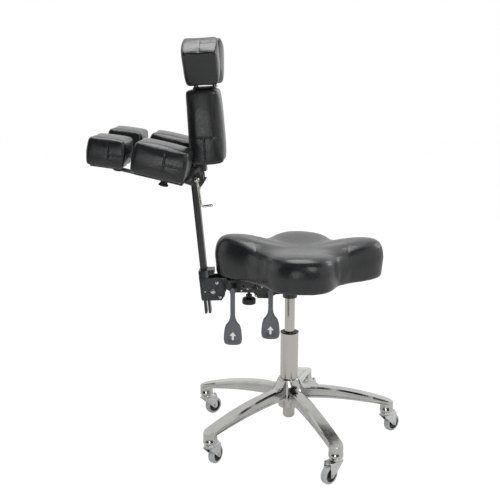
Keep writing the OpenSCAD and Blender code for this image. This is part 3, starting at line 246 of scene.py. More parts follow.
def leg_mesh(angle):
    """One leg as a loft of its sections, round-ended about the stem."""
    stations = np.linspace(LEG_START, STEM_CIRCLE, LEG_STATIONS)
    rings = [[(r, y, z) for y, z in leg_section(r)] for r in stations]
    end = BOSS_WIDTH / 2 - 0.4 * mm
    for k in range(1, END_STATIONS + 1):
        a = math.pi / 2 * k / (END_STATIONS + 0.6)
        r = STEM_CIRCLE + end * math.sin(a)
        rings.append([(r, y * math.cos(a), z) for y, z in leg_section(r)])
    turn = Matrix.Rotation(math.radians(angle), 3, "Z")
    vertices, faces = lofted(rings)
    return [turn @ Vector(p) for p in vertices], faces


def revolve(profile, steps=72, place=Matrix.Identity(4), lobes=0, lobe_depth=0.0, lobe_from=0.0):
    """A solid of revolution about Z from (radius, height) points; lobes shape a grip."""
    vertices, faces, rows = [], [], []
    for r, z in profile:
        if r < 1e-7:
            rows.append([len(vertices)])
            vertices.append(place @ Vector((0, 0, z)))
            continue
        rows.append(list(range(len(vertices), len(vertices) + steps)))
        for i in range(steps):
            a = 2 * math.pi * i / steps
            lobe = 1 - lobe_depth * (0.5 + 0.5 * math.cos(lobes * a)) if lobes and r > lobe_from else 1
            vertices.append(place @ Vector((r * lobe * math.cos(a), r * lobe * math.sin(a), z)))
    for low, high in zip(rows[:-1], rows[1:]):
        for i in range(steps):
            j = (i + 1) % steps
            if len(low) == 1 and len(high) == 1:
                break
            if len(low) == 1:
                faces.append((low[0], high[j], high[i]))
            elif len(high) == 1:
                faces.append((low[i], low[j], high[0]))
            else:
                faces.append((low[i], low[j], high[j], high[i]))
    return vertices, faces


def arc_points(cx, cz, r, start, stop, steps=8):
    """Points of an arc between two angles in degrees."""
    turns = [math.radians(start + (stop - start) * k / steps) for k in range(steps + 1)]
    return [(cx + r * math.cos(a), cz + r * math.sin(a)) for a in turns]


top, boss_r = CREST_TIP - 3 * mm, BOSS_WIDTH / 2
boss = [(5.6 * mm, BOSS_LOW + 20 * mm), (5.6 * mm, BOSS_LOW + mm), (6.6 * mm, BOSS_LOW), (boss_r - 1.5 * mm, BOSS_LOW)]
boss += arc_points(boss_r - 1.5 * mm, BOSS_LOW + 1.5 * mm, 1.5 * mm, -90, 0, 4)
boss += [(boss_r, BOSS_LOW + 8 * mm), (boss_r - 0.7 * mm, BOSS_LOW + 9 * mm), (boss_r - 0.5 * mm, top - 7 * mm)]
boss += arc_points(boss_r - 6 * mm, top - 7 * mm, 5.5 * mm, 10, 80, 5) + [(0, top)]
for k in range(5):
    angle = LEG_TURN + 72 * k
    leg = new_piece(f"base_leg_{k + 1}", *leg_mesh(angle), cast_aluminium, "base", (), "cast_aluminium", 28)
    bevelled(leg, 0.9 * mm, 3, 26)
    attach(leg, "base")
    if k == 0:
        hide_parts("star_base")
    a = math.radians(angle)
    at_stem = Matrix.Translation((STEM_CIRCLE * math.cos(a), STEM_CIRCLE * math.sin(a), 0))
    new_piece(f"base_boss_{k + 1}", *revolve(boss, 72, at_stem), cast_aluminium, "base", (), "cast_aluminium")

bore = HUB_BORE + 0.2 * mm
hub = [(bore, HUB_LOW), (HUB_RADIUS - mm, HUB_LOW), (HUB_RADIUS, HUB_LOW + mm), (HUB_RADIUS, HUB_HIGH - 2.5 * mm)]
hub += arc_points(HUB_RADIUS - 2.5 * mm, HUB_HIGH - 2.5 * mm, 2.5 * mm, 0, 90, 5) + [(bore, HUB_HIGH), (bore, HUB_LOW)]
new_piece("base_hub", *revolve(hub, 120), cast_aluminium, "base", (), "cast_aluminium")

# ---------------------------------------------------------------------------------------
# Gas lift: a chromed steel tube pressed in the hub, a black bush in its mouth, a rounded
# end cap, and the hard-chromed piston that slides in the bush.
# ---------------------------------------------------------------------------------------
TUBE_RADIUS, TUBE_TOP, TUBE_WALL = 25 * mm, 309 * mm, 2 * mm
PISTON_RADIUS, PISTON_LOW, BUSH_DEPTH = 14 * mm, 215 * mm, 54 * mm
CONE_LOW, CONE_LENGTH, CONE_SMALL = 409 * mm, 40 * mm, 13 * mm
PIN_BORE, PIN_DEPTH = 4.05 * mm, 14 * mm
CAP_RADIUS, CAP_HEIGHT, CAP_ROUND = 17 * mm, 35 * mm, 0.55

# Chrome over drawn steel tube: a clear mirror with faint lengthwise polishing lines.
chrome, shader = new_material("chromed_steel", metallic=1.0, base_color=linear("#b6b3ad"))
lines = noise(shader, 1.0, 3.0, stretch=(900.0, 900.0, 25.0))
rough_between(shader, lines, 0.08, 0.2)
raised(shader, lines, 0.03, 0.0002)

# Moulded black nylon, satin from a spark-eroded mould: soft, even grain.
black_plastic, shader = new_material("moulded_black_nylon", base_color=linear("#1a1b1d"), ior=1.53)
grain = noise(shader, 1400.0, 2.0)
rough_between(shader, grain, 0.38, 0.58)
raised(shader, grain, 0.25, 0.0002)

tube = [(0, HUB_LOW), (TUBE_RADIUS - mm, HUB_LOW), (TUBE_RADIUS, HUB_LOW + mm), (TUBE_RADIUS, TUBE_TOP - 0.8 * mm)]
tube += [(TUBE_RADIUS - 0.8 * mm, TUBE_TOP), (TUBE_RADIUS - TUBE_WALL, TUBE_TOP)]
tube += [(TUBE_RADIUS - TUBE_WALL, HUB_LOW + 3 * mm), (0, HUB_LOW + 3 * mm)]
new_piece("lift_tube_skin", *revolve(tube, 120), chrome, "base", ("lift_tube",), "chrome", 30)

bore, fit, foot = PISTON_RADIUS + 0.05 * mm, TUBE_RADIUS - 2.02 * mm, TUBE_TOP - BUSH_DEPTH
bush = [(bore, foot), (fit, foot), (fit, TUBE_TOP), (TUBE_RADIUS + 0.1 * mm, TUBE_TOP)]
bush += [(TUBE_RADIUS + 0.5 * mm, TUBE_TOP + 0.5 * mm), (TUBE_RADIUS + 0.3 * mm, TUBE_TOP + 1.4 * mm)]
bush += [(TUBE_RADIUS - 1.2 * mm, TUBE_TOP + 2 * mm), (PISTON_RADIUS + 2 * mm, TUBE_TOP + 2 * mm)]
bush += [(PISTON_RADIUS + 1.2 * mm, TUBE_TOP + 1.2 * mm), (bore, TUBE_TOP + 1.2 * mm), (bore, foot)]
new_piece("lift_bush_skin", *revolve(bush, 96), black_plastic, "base", ("tube_bush",), "black_plastic", 30)

rim, ball = CAP_RADIUS + 4 * mm, CAP_RADIUS * CAP_ROUND
cap = [(0, HUB_LOW - 0.1 * mm), (rim, HUB_LOW - 0.1 * mm), (rim, HUB_LOW - 3.4 * mm)]
cap += [(CAP_RADIUS + 3.4 * mm, HUB_LOW - 4 * mm), (CAP_RADIUS, HUB_LOW - 6 * mm)]
cap += arc_points(CAP_RADIUS - ball, HUB_LOW - CAP_HEIGHT + ball, ball, 0, -90, 10) + [(0, HUB_LOW - CAP_HEIGHT)]
new_piece("lift_cap_skin", *revolve(cap, 96), chrome, "base", ("lift_cap",), "chrome", 30)

cone_top = CONE_LOW + CONE_LENGTH
piston = [(0, PISTON_LOW), (PISTON_RADIUS - mm, PISTON_LOW), (PISTON_RADIUS, PISTON_LOW + mm)]
piston += [(PISTON_RADIUS, CONE_LOW), (CONE_SMALL, cone_top), (PIN_BORE, cone_top)]
piston += [(PIN_BORE, cone_top - PIN_DEPTH), (0, cone_top - PIN_DEPTH)]
new_piece("piston_skin", *revolve(piston, 96), chrome, "piston", ("gas_piston",), "chrome", 30)

# ---------------------------------------------------------------------------------------
# Casters: a pressed, zinc-plated fork swivels under a domed cup on its stem. The wheel has
# a black moulded core and a translucent grey tyre, pressed on.
# ---------------------------------------------------------------------------------------
WHEEL_RADIUS, TYRE_WIDTH, TYRE_ROUND = 25 * mm, 18 * mm, 5 * mm
CORE_RADIUS, AXLE_RADIUS, TRAIL = 18 * mm, 4 * mm, 24 * mm
FORK_GAP, FORK_THICK = 1.4 * mm, 2.5 * mm
CUP_LOW, CUP_HIGH = 58.3 * mm, 66 * mm
CASTER_TURNS = (62, 226, 42, 30, 40)

# Zinc-plated steel: pale, slightly blue, softly mottled where the bath left spangle.
zinc_steel, shader = new_material("zinc_plated_steel", metallic=1.0)
spangle = noise(shader, 260.0, 4.0)
two_tone(shader, spangle, "#b4b5b6", "#d0d0ce")
rough_between(shader, spangle, 0.16, 0.34)
raised(shader, spangle, 0.06, 0.0003)

# Cast grey polyurethane: lets a little light in, waxy, scuffed dull in patches.
tyre_grey, shader = new_material(
    "cast_grey_polyurethane", ior=1.5, subsurface_weight=0.25, subsurface_scale=0.004, coat_weight=0.2
)
scuff = noise(shader, 320.0, 5.0, 0.6)
two_tone(shader, scuff, "#a9acae", "#c6c9ca")
rough_between(shader, scuff, 0.22, 0.5)
raised(shader, scuff, 0.12, 0.0004)


def refined(node, material, width=0.5 * mm, smooth_angle=34):
    """A rigid CAD piece with its facets merged and its sharp edges rounded off."""
    source = cad_nodes[node]
    mesh = source.data.copy()
    piece = linked(f"{node}_skin", mesh)
    bm = bmesh.new()
    bm.from_mesh(mesh)
    bmesh.ops.remove_doubles(bm, verts=bm.verts, dist=2e-6)
    bmesh.ops.dissolve_limit(bm, angle_limit=math.radians(1.0), verts=bm.verts, edges=bm.edges, delimit={"NORMAL"})
    bm.to_mesh(mesh)
    bm.free()
    if width:
        bevelled(piece, width, 2, smooth_angle)
    finish_piece(piece, material, source["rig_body"], (node,), smooth_angle, False)


h, bead = TYRE_WIDTH / 2, CORE_RADIUS + 0.05 * mm
tyre = [(bead, -h + 0.6 * mm), (CORE_RADIUS + 0.6 * mm, -h)]
tyre += arc_points(WHEEL_RADIUS - TYRE_ROUND, TYRE_ROUND - h, TYRE_ROUND, -90, -8, 8)
tyre += [(WHEEL_RADIUS, -1.5 * mm), (WHEEL_RADIUS, 1.5 * mm)]
tyre += arc_points(WHEEL_RADIUS - TYRE_ROUND, h - TYRE_ROUND, TYRE_ROUND, 8, 90, 8)
tyre += [(CORE_RADIUS + 0.6 * mm, h), (bead, h - 0.6 * mm), (bead, -h + 0.6 * mm)]
w, bore = h + 0.8 * mm, AXLE_RADIUS + 0.05 * mm
half_core = [(bore, w), (AXLE_RADIUS + 3 * mm, w)] + arc_points(AXLE_RADIUS + 3 * mm, w - mm, mm, 90, 0, 4)
half_core += [(AXLE_RADIUS + 5 * mm, h * 0.5), (CORE_RADIUS - 4 * mm, h * 0.5), (CORE_RADIUS - 2.4 * mm, h * 0.62)]
half_core += [(CORE_RADIUS - 1.8 * mm, h - 0.4 * mm), (CORE_RADIUS - 1.2 * mm, h), (CORE_RADIUS - 0.4 * mm, h)]
half_core += [(CORE_RADIUS, h - 0.5 * mm)]
core = [(r, -z) for r, z in half_core] + [(r, z) for r, z in reversed(half_core)] + [(bore, -w)]
axle_head = [(0, 0.0), (AXLE_RADIUS + 1.2 * mm, 0.0)]
axle_head += arc_points(AXLE_RADIUS + 0.4 * mm, 0.9 * mm, 0.8 * mm, -20, 60, 4)
axle_head += [(AXLE_RADIUS * 0.5, 2.3 * mm), (0, 2.6 * mm)]
cup = [(0, CUP_LOW), (16 * mm, CUP_LOW), (17 * mm, CUP_LOW + 0.7 * mm)]
cup += arc_points(12.6 * mm, CUP_HIGH - 4.4 * mm, 4.4 * mm, 0, 90, 6) + [(0, CUP_HIGH)]
stem_end = [(0, 52.7 * mm), (6 * mm, 52.7 * mm), (7.9 * mm, 53.5 * mm), (7.9 * mm, 54.6 * mm), (5.5 * mm, 54.7 * mm)]
stem_end += [(5.5 * mm, CUP_LOW), (5.5 * mm, 91 * mm), (0, 92 * mm)]
for k in range(5):
    n = k + 1
    a, t = math.radians(LEG_TURN + 72 * k), math.radians(CASTER_TURNS[k])
    stem = Vector((STEM_CIRCLE * math.cos(a), STEM_CIRCLE * math.sin(a), 0))
    centre = stem + Vector((TRAIL * math.cos(t), TRAIL * math.sin(t), WHEEL_RADIUS))
    at_wheel = Matrix.Translation(centre) @ Matrix.Rotation(t, 4, "Z")
    across = at_wheel @ Matrix.Rotation(math.pi / 2, 4, "X")
    tyre_skin, core_skin = revolve(tyre, 80, across), revolve(core, 64, across)
    new_piece(f"tyre_skin_{n}", *tyre_skin, tyre_grey, f"wheel_{n}", (f"caster_tyre_{n}",), "grey_rubber", 35)
    new_piece(f"core_skin_{n}", *core_skin, black_plastic, f"wheel_{n}", (f"caster_core_{n}",), "black_plastic", 35)
    refined(f"caster_fork_{n}", zinc_steel, 0.5 * mm)
    out = Matrix.Translation((0, 0, h + FORK_GAP + FORK_THICK))
    for side, letter in ((1, "a"), (-1, "b")):
        face = at_wheel @ Matrix.Rotation(-side * math.pi / 2, 4, "X") @ out
        new_piece(f"axle_head_{n}_{letter}", *revolve(axle_head, 40, face), chrome, f"fork_{n}", (), "chrome")
    at_stem = Matrix.Translation(stem)
    stands_for = ("caster_stems",) if k == 0 else ()
    new_piece(f"swivel_cup_{n}", *revolve(cup, 72, at_stem), zinc_steel, "base", stands_for, "zinc_steel")
    new_piece(f"caster_stem_{n}", *revolve(stem_end, 40, at_stem), zinc_steel, "base", (), "zinc_steel")

# ---------------------------------------------------------------------------------------
# Seat mechanism: a folded steel tray with its lever rods, the socket for the lift's taper
# and the tension knob. Folded and pressed parts are powder-coated black.
# ---------------------------------------------------------------------------------------
# Satin black powder coat: fine orange peel that breaks up its gloss.
black_steel, shader = new_material("black_powder_coated_steel", ior=1.5, coat_weight=0.15)
peel = noise(shader, 620.0, 3.0)
patch = noise(shader, 16.0, 3.0)
two_tone(shader, patch, "#191a1c", "#242528")
rough_between(shader, peel, 0.28, 0.46)
raised(shader, peel, 0.12, 0.0003)

# Birch plywood seat board, stained black: matt, with its grain streaked along one way.
plywood, shader = new_material("black_stained_plywood", roughness=0.7)
streak = noise(shader, 1.0, 6.0, stretch=(8.0, 160.0, 300.0))
two_tone(shader, streak, "#1f1c19", "#2e2a26")
raised(shader, streak, 0.2, 0.0004)

for node in ("mechanism_housing", "cone_socket", "seat_plate", "height_rod", "tilt_rod"):
    refined(node, black_steel, 0.7 * mm)
refined("seat_board", plywood, 0.8 * mm)
refined("seat_screws", zinc_steel, 0.3 * mm)
refined("tension_spring", zinc_steel, 0)
refined("release_pin", chrome, 0.3 * mm)

TENSION_X, TENSION_TOP, TENSION_HEAD = -112 * mm, 407 * mm, 459 * mm
at_knob = Matrix.Translation((TENSION_X, 0, 0))
foot = TENSION_TOP - 20 * mm
knob = [(0, foot), (11 * mm, foot), (11.4 * mm, foot + 0.6 * mm), (14.5 * mm, foot + mm)]
knob += arc_points(15 * mm, TENSION_TOP - 15 * mm, 4 * mm, -60, 0, 8)
knob += [(18.8 * mm, TENSION_TOP - 8 * mm)] + arc_points(15 * mm, TENSION_TOP - 5 * mm, 3.6 * mm, 10, 80, 6)
knob += [(10 * mm, TENSION_TOP - 0.4 * mm), (8.5 * mm, TENSION_TOP), (8.5 * mm, TENSION_TOP + 8 * mm)]
knob += [(4 * mm, TENSION_TOP + 8.6 * mm), (4 * mm, TENSION_HEAD - 2 * mm), (11 * mm, TENSION_HEAD - 2 * mm)]
knob += [(11 * mm, TENSION_HEAD), (0, TENSION_HEAD)]
new_piece("tension_knob_skin", *revolve(knob, 120, at_knob, 12, 0.03, 14 * mm), black_plastic,
          "tension_adjuster", ("tension_knob",), "black_plastic", 30)


def growing_group(name, *lengths):
    """Geometry Nodes: a group that takes a mesh, lengths and a material; returns its inputs too."""
    group = bpy.data.node_groups.new(name, "GeometryNodeTree")
    kinds = [("Geometry", "Geometry"), *((length, "Float") for length in lengths), ("Material", "Material")]
    for label, kind in kinds:
        group.interface.new_socket(label, in_out="INPUT", socket_type=f"NodeSocket{kind}")
    group.interface.new_socket("Geometry", in_out="OUTPUT", socket_type="NodeSocketGeometry")
    return group, group.nodes.new("NodeGroupInput").outputs


def set_out(group, start, points, form, facing):
    """Geometry Nodes: sets a form at each point and makes it a real mesh of the material."""
    rows = put(group, "GeometryNodeInstanceOnPoints", {"Points": points, "Instance": form, "Rotation": facing})
    real = put(group, "GeometryNodeRealizeInstances", {"Geometry": rows.outputs["Instances"]})
    dressed = {"Geometry": real.outputs["Geometry"], "Material": start["Material"]}
    done = put(group, "GeometryNodeSetMaterial", dressed)
    group.links.new(done.outputs["Geometry"], group.nodes.new("NodeGroupOutput").inputs["Geometry"])
    return group


def instance_tree(name):
    """Geometry Nodes: a small domed head, set at each point of the mesh along its normal."""
    group, start = growing_group(name, "Radius", "Height")
    ball = put(group, "GeometryNodeMeshUVSphere", {"Segments": 28, "Rings": 14, "Radius": start["Radius"]})
    squash = put(group, "ShaderNodeMath", {0: start["Height"], 1: start["Radius"]}, operation="DIVIDE")
    scale = put(group, "ShaderNodeCombineXYZ", {"X": 1.0, "Y": 1.0, "Z": squash.outputs[0]})
    flat = put(group, "GeometryNodeTransform", {"Geometry": ball.outputs["Mesh"], "Scale": scale.outputs["Vector"]})
    normal = put(group, "GeometryNodeInputNamedAttribute", {"Name": "out"}, data_type="FLOAT_VECTOR")
    turn = put(group, "FunctionNodeAlignRotationToVector", {"Vector": normal.outputs["Attribute"]}, axis="Z")
    return set_out(group, start, start["Geometry"], flat.outputs["Geometry"], turn.outputs["Rotation"])


def grown(name, points, outs, tree, values, material, body, edges=()):
    """Runs a tree on points or lines that carry their outward directions, and keeps the mesh."""
    mesh = bpy.data.meshes.new(name)
    mesh.from_pydata([tuple(p) for p in points], list(edges), [])
    attribute = mesh.attributes.new("out", "FLOAT_VECTOR", "POINT")
    attribute.data.foreach_set("vector", [c for o in outs for c in o])
    piece = linked(name, mesh)
    modifier = piece.modifiers.new("grow", "NODES")
    modifier.node_group = tree
    sockets = {s.name: s.identifier for s in tree.interface.items_tree if s.in_out == "INPUT"}
    for label, value in values.items():
        modifier[sockets[label]] = value
    modifier[sockets["Material"]] = material
    baked(piece)
    finish_piece(piece, material, body, (), 50)


domed_heads = instance_tree("domed_heads")
WALL_Y = -45 * mm
bolts = [(-152, 441), (-130, 438), (-113, 443), (-92, 424), (-75, 449), (-38, 447)]
grown("tray_bolts", [(x * mm, WALL_Y, z * mm) for x, z in bolts], [(0, -1, 0)] * len(bolts), domed_heads,
      {"Radius": 3.4 * mm, "Height": 1.9 * mm}, zinc_steel, "seat_frame")

# ---------------------------------------------------------------------------------------
# Levers: two moulded grey handles that hang from the near ends of their rods. A slim stem
# opens into a dished paddle with a plain arrow on it.
# ---------------------------------------------------------------------------------------
ROD_Z = 452 * mm
HANDLE_Y = -110 * mm
PADDLE_WIDTH, PADDLE_LENGTH, DISH_DEPTH = 49 * mm, 66 * mm, 2.4 * mm
STEM_WIDTH, HANDLE_THICK, HANDLE_SIDES = 13 * mm, 7 * mm, 36
ROD_HOLE, MARK_SIZE = 5.02 * mm, 1.25 * mm
STEM_SHAPE = ((1.25, 0.5), (1.1, 0.6), (0.95, 0.95))
PADDLE_SHAPE = ((0.84, 0.385), (0.66, 0.455), (0.4, 0.49), (0.24, 0.5), (0.1, 0.465), (0.03, 0.38), (0.0, 0.2))

# Moulded grey ABS, glossy from a polished mould, its grey drifting a little as melts do.
grey_plastic, shader = new_material("moulded_grey_abs", ior=1.54, coat_weight=0.6, coat_roughness=0.08)
flow = noise(shader, 30.0, 2.0)
two_tone(shader, flow, "#404449", "#5c6065")
grain = noise(shader, 900.0, 2.0)
rough_between(shader, grain, 0.16, 0.26)
raised(shader, grain, 0.05, 0.0002)

# Pad-printed white ink, thin and slightly rough.
white_ink, shader = new_material("printed_white_ink", base_color=linear("#f2f2f0"))
speck = noise(shader, 1500.0)
rough_between(shader, speck, 0.35, 0.6)


def handle_half_width(drop, length):
    """Half the handle's width at a distance below its rod; the shapes are (share of the
    paddle's length above its end, share of a width) pairs."""
    keys = [(-STEM_WIDTH * 0.5, STEM_WIDTH * 0.5)]
    keys += [(length - PADDLE_LENGTH * up, STEM_WIDTH * wide) for up, wide in STEM_SHAPE]
    keys += [(length - PADDLE_LENGTH * up, PADDLE_WIDTH * wide) for up, wide in PADDLE_SHAPE]
    return float(np.interp(drop, *zip(*keys)))


def handle_mesh(x, length):
    """A lofted handle: rounded across, with the paddle's near face pressed in."""
    rings = []
    drops = list(np.linspace(-STEM_WIDTH * 0.48, length - PADDLE_LENGTH * 1.3, 12))
    drops += list(np.linspace(length - PADDLE_LENGTH * 1.25, length, 40))
    for drop in drops:
        half = handle_half_width(drop, length)
        share = min(1.0, max(0.0, (drop - length + PADDLE_LENGTH * 0.95) / (PADDLE_LENGTH * 0.3)))
        end = min(1.0, max(0.0, (length - drop) / (4 * mm)))
        thick = HANDLE_THICK / 2 * (1 - 0.1 * share) * (0.55 + 0.45 * math.sqrt(end))
        along = min(1, max(0, (drop - length + PADDLE_LENGTH * 0.84) / (PADDLE_LENGTH * 0.8)))
        dish = DISH_DEPTH * max(0.0, math.sin(math.pi * along)) * share
        ring = []
        for i in range(HANDLE_SIDES):
            a = 2 * math.pi * i / HANDLE_SIDES
            c, s = math.cos(a), math.sin(a)
            px = half * math.copysign(abs(c) ** 0.5, c)
            py = thick * math.copysign(abs(s) ** 0.62, s)
            if py < 0:
                py += dish * max(0.0, 1 - (px / max(half, 1e-6)) ** 2)
            ring.append((x + px, HANDLE_Y + py, ROD_Z - drop))
        rings.append(ring)
    return lofted(rings)


def flat_mark(name, outline, centre, body, y):
    """A thin raised print cut to an outline, in the X and Z plane."""
    n = len(outline)
    front = [(centre[0] + px, y, centre[1] + pz) for px, pz in outline]
    back = [(px, y + 0.5 * mm, pz) for px, _, pz in front]
    faces = [tuple(range(n)), tuple(reversed(range(n, 2 * n)))]
    faces += [(i, (i + 1) % n, n + (i + 1) % n, n + i) for i in range(n)]
    new_piece(name, front + back, faces, white_ink, body, (), "grey_plastic", 30)


arrow = [(-2.2, -8), (2.2, -8), (2.2, 1), (7, 1), (0, 9.5), (-7, 1), (-2.2, 1)]
arrow = [(px * MARK_SIZE, pz * MARK_SIZE) for px, pz in arrow]
eye = [(ROD_HOLE, -12.5 * mm), (8 * mm, -12.5 * mm)] + arc_points(7 * mm, 2 * mm, mm, 0, 90, 4) + [(0, 3.2 * mm)]
for name, body, x, length in (
    ("height_handle", "height_lever", -50 * mm, 127 * mm),
    ("tilt_handle", "tilt_lever", -149 * mm, 145 * mm),
):
    new_piece(f"{name}_skin", *handle_mesh(x, length), grey_plastic, body, (name,), "grey_plastic", 60)
    across = Matrix.Translation((x, HANDLE_Y, ROD_Z)) @ Matrix.Rotation(math.pi / 2, 4, "X")
    new_piece(f"{name}_eye", *revolve(eye, 56, across), grey_plastic, body, (), "grey_plastic", 40)
    middle = (x, ROD_Z - length + PADDLE_LENGTH * 0.36)
    flat_mark(f"{name}_mark", arrow, middle, body, HANDLE_Y - HANDLE_THICK / 4)

# ---------------------------------------------------------------------------------------
# Back bracket: two pressed cheeks on the tilt pivot with a guide sleeve riveted between
# them. The flat steel post slides in the sleeve and a small knob clamps it.
# ---------------------------------------------------------------------------------------
# Dark grey phosphated steel: duller than the paint beside it, faintly mottled.
grey_steel, shader = new_material("phosphated_steel", metallic=0.55, ior=1.5)
mottle = noise(shader, 180.0, 5.0)
two_tone(shader, mottle, "#333538", "#46494c")
rough_between(shader, mottle, 0.36, 0.55)
raised(shader, mottle, 0.08, 0.0003)

refined("bracket_cheeks", grey_steel, 0.8 * mm)
refined("post_sleeve", black_steel, 0.8 * mm)
refined("bracket_rivets", zinc_steel, 0.4 * mm, smooth_angle=50)
refined("lock_knob", black_plastic, 0.8 * mm)
refined("post", black_steel, 0.9 * mm)

# ---------------------------------------------------------------------------------------
# Head: a black steel yoke on the post's barrel, its pivot bolt and washers, the flat spine
# inside the back pad, the bracket for the top pads and the forked plate for the arms. A
# bent chromed rod clamps the pivot.
# ---------------------------------------------------------------------------------------
for node in ("head_yoke", "back_spine", "top_bracket", "arm_carrier"):
    refined(node, black_steel, 0.8 * mm)
refined("pivot_hardware", black_steel, 0.5 * mm, smooth_angle=40)
HEAD_X, HEAD_Z, CLAMP_Y = -247 * mm, 733 * mm, -27.4 * mm
CLAMP_DROP, CLAMP_BEND, CLAMP_REACH, CLAMP_RADIUS = 63 * mm, 9 * mm, 32 * mm, 3.3 * mm


def bent_bar(path, radius, place, around=24):
    """A round bar along points in the X and Z plane, domed at both ends."""
    side = Vector((0, 1, 0))
    points = [Vector(p) for p in path]
    first, last = (points[1] - points[0]).normalized(), (points[-1] - points[-2]).normalized()
    spots = [(points[0] - first * radius * math.cos(a), first, math.sin(a)) for a in np.linspace(0.05, 1.5, 6)]
    for k, p in enumerate(points):
        way = (points[min(k + 1, len(points) - 1)] - points[max(k - 1, 0)]).normalized()
        spots.append((p, way, 1.0))
    spots += [(points[-1] + last * radius * math.cos(a), last, math.sin(a)) for a in np.linspace(1.5, 0.05, 6)]
    turns = [2 * math.pi * i / around for i in range(around)]
    rings = []
    for p, way, share in spots:
        across = way.cross(side)
        rings.append([place @ (p + (across * math.cos(a) + side * math.sin(a)) * radius * share) for a in turns])
    return lofted(rings)


pivot = Matrix.Translation((HEAD_X, 0, HEAD_Z)) @ Matrix.Rotation(math.pi / 2, 4, "X")
cap = [(6.6 * mm, 30.6 * mm)] + arc_points(5.4 * mm, 32.4 * mm, 1.4 * mm, 0, 70, 5)
cap += [(3.4 * mm, 34.6 * mm), (0, 35 * mm)]
bolt_body, clamp_body = cad_nodes["pivot_hardware"]["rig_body"], cad_nodes["clamp_lever"]["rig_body"]
new_piece("pivot_bolt_cap", *revolve(cap, 56, pivot), chrome, bolt_body, (), "chrome", 40)

clamp = Matrix.Translation((HEAD_X, CLAMP_Y, HEAD_Z)) @ Matrix.Rotation(math.radians(-8), 4, "Y")
path = [(0, 0, -8 * mm), (0, 0, -CLAMP_DROP * 0.5)]
path += [(x, 0, z) for x, z in arc_points(CLAMP_BEND, -CLAMP_DROP, CLAMP_BEND, 180, 270, 10)]
path += [(CLAMP_REACH - 3.5 * mm, 0, -CLAMP_DROP - CLAMP_BEND)]
rod = bent_bar(path, CLAMP_RADIUS, clamp)
new_piece("clamp_lever_rod", *rod, chrome, clamp_body, ("clamp_lever",), "chrome", 50)
eye = [(5.2 * mm, -2.9 * mm), (9.4 * mm, -2.9 * mm), (9.9 * mm, -2.3 * mm), (9.9 * mm, 2 * mm)]
eye += arc_points(8.9 * mm, 1.8 * mm, mm, 0, 90, 4) + [(5.2 * mm, 2.8 * mm), (5.2 * mm, -2.9 * mm)]
eye_skin = revolve(eye, 56, clamp @ Matrix.Rotation(math.pi / 2, 4, "X"))
new_piece("clamp_lever_eye", *eye_skin, black_steel, clamp_body, (), "chrome", 40)
for side in ("near", "far"):
    for part in ("inner_plate", "outer_plate", "top_plate"):
        refined(f"{side}_{part}", black_steel, 0.7 * mm)

# ---------------------------------------------------------------------------------------
# Padded pieces: cut foam in grained black imitation leather. Each pad is two panels and a
# boxing strip whose ends meet in a sewn T. A pressed cloth relaxes over the foam.
# ---------------------------------------------------------------------------------------
PAD_CORNER, PAD_CROWN, PAD_DRAW, PAD_BULGE = 0.08, 0.035, 0.008, 0.03
PAD_RIM, PAD_TOP_RIM, PAD_DOME, PAD_SWELL = 0.06, 0.1, 0.15, 1.3 * mm
CLOTH_FRAMES = 12
COVER_VOXEL, SEAT_VOXEL = 3.2 * mm, 5 * mm
COVER_SHRINK, COVER_TRAVEL, COVER_ROUNDS = 0.4 * mm, 2.2 * mm, 5
SKIRT, BEYOND = 6 * mm, 0.13

# Imitation leather on foam: near-black and closely pebbled, a satin sheen that varies with
# its creases, and a tone that drifts a little as handled covers do.
leather, shader = new_material("grained_imitation_leather", ior=1.5, coat_weight=0.05, coat_roughness=0.25)
tree = shader.id_data
where = put(tree, "ShaderNodeTexCoord").outputs["Object"]
pebble = put(tree, "ShaderNodeTexVoronoi", {"Vector": where, "Scale": 620.0}, feature="SMOOTH_F1")
crease = noise(shader, 150.0, 5.0, 0.6)
worn = noise(shader, 9.0, 4.0)
two_tone(shader, worn, "#17181a", "#202124")
rough_between(shader, crease, 0.26, 0.36, 0.3, 0.7)
grain_height = put(tree, "ShaderNodeMath", {0: pebble.outputs["Distance"], 1: crease}, operation="ADD")
raised(shader, grain_height.outputs[0], 0.2, 0.00035)

# Bonded black thread, duller than the leather.
thread, shader = new_material("bonded_black_thread", base_color=linear("#191a1b"), sheen_weight=0.2)
tree = shader.id_data
where = put(tree, "ShaderNodeTexCoord").outputs["Object"]
twist = put(tree, "ShaderNodeTexWave", {"Vector": where, "Scale": 900.0, "Distortion": 2.0}).outputs["Fac"]
rough_between(shader, twist, 0.4, 0.6)


def pad_outline(length, width, radius, draw, corner_steps=6, side_steps=10):
    """A rounded rectangle whose sides are drawn in between its corners."""
    corners = [(length / 2 - radius, width / 2 - radius), (radius - length / 2, width / 2 - radius),
               (radius - length / 2, radius - width / 2), (length / 2 - radius, radius - width / 2)]
    points = []
    for k, (cx, cy) in enumerate(corners):
        nx, ny = corners[(k + 1) % 4]
        out = Vector((math.cos(math.radians(90 * k + 90)), math.sin(math.radians(90 * k + 90))))
        for i in range(corner_steps + 1):
            a = math.radians(90 * k + 90 * i / corner_steps)
            points.append(Vector((cx + radius * math.cos(a), cy + radius * math.sin(a))))
        a, b = Vector((cx, cy)) + radius * out, Vector((nx, ny)) + radius * out
        for j in range(1, side_steps):
            points.append(a + (b - a) * j / side_steps - out * draw * math.sin(math.pi * j / side_steps))
    return points


def capped(rings, n):
    """Faces over a first point, rings of n points each and a last point."""
    faces = []
    for i in range(n):
        j = (i + 1) % n
        faces.append((0, 1 + j, 1 + i))
        for k in range(rings - 1):
            faces.append((1 + k * n + i, 1 + k * n + j, 1 + (k + 1) * n + j, 1 + (k + 1) * n + i))
        faces.append((1 + (rings - 1) * n + i, 1 + (rings - 1) * n + j, 1 + rings * n))
    return faces


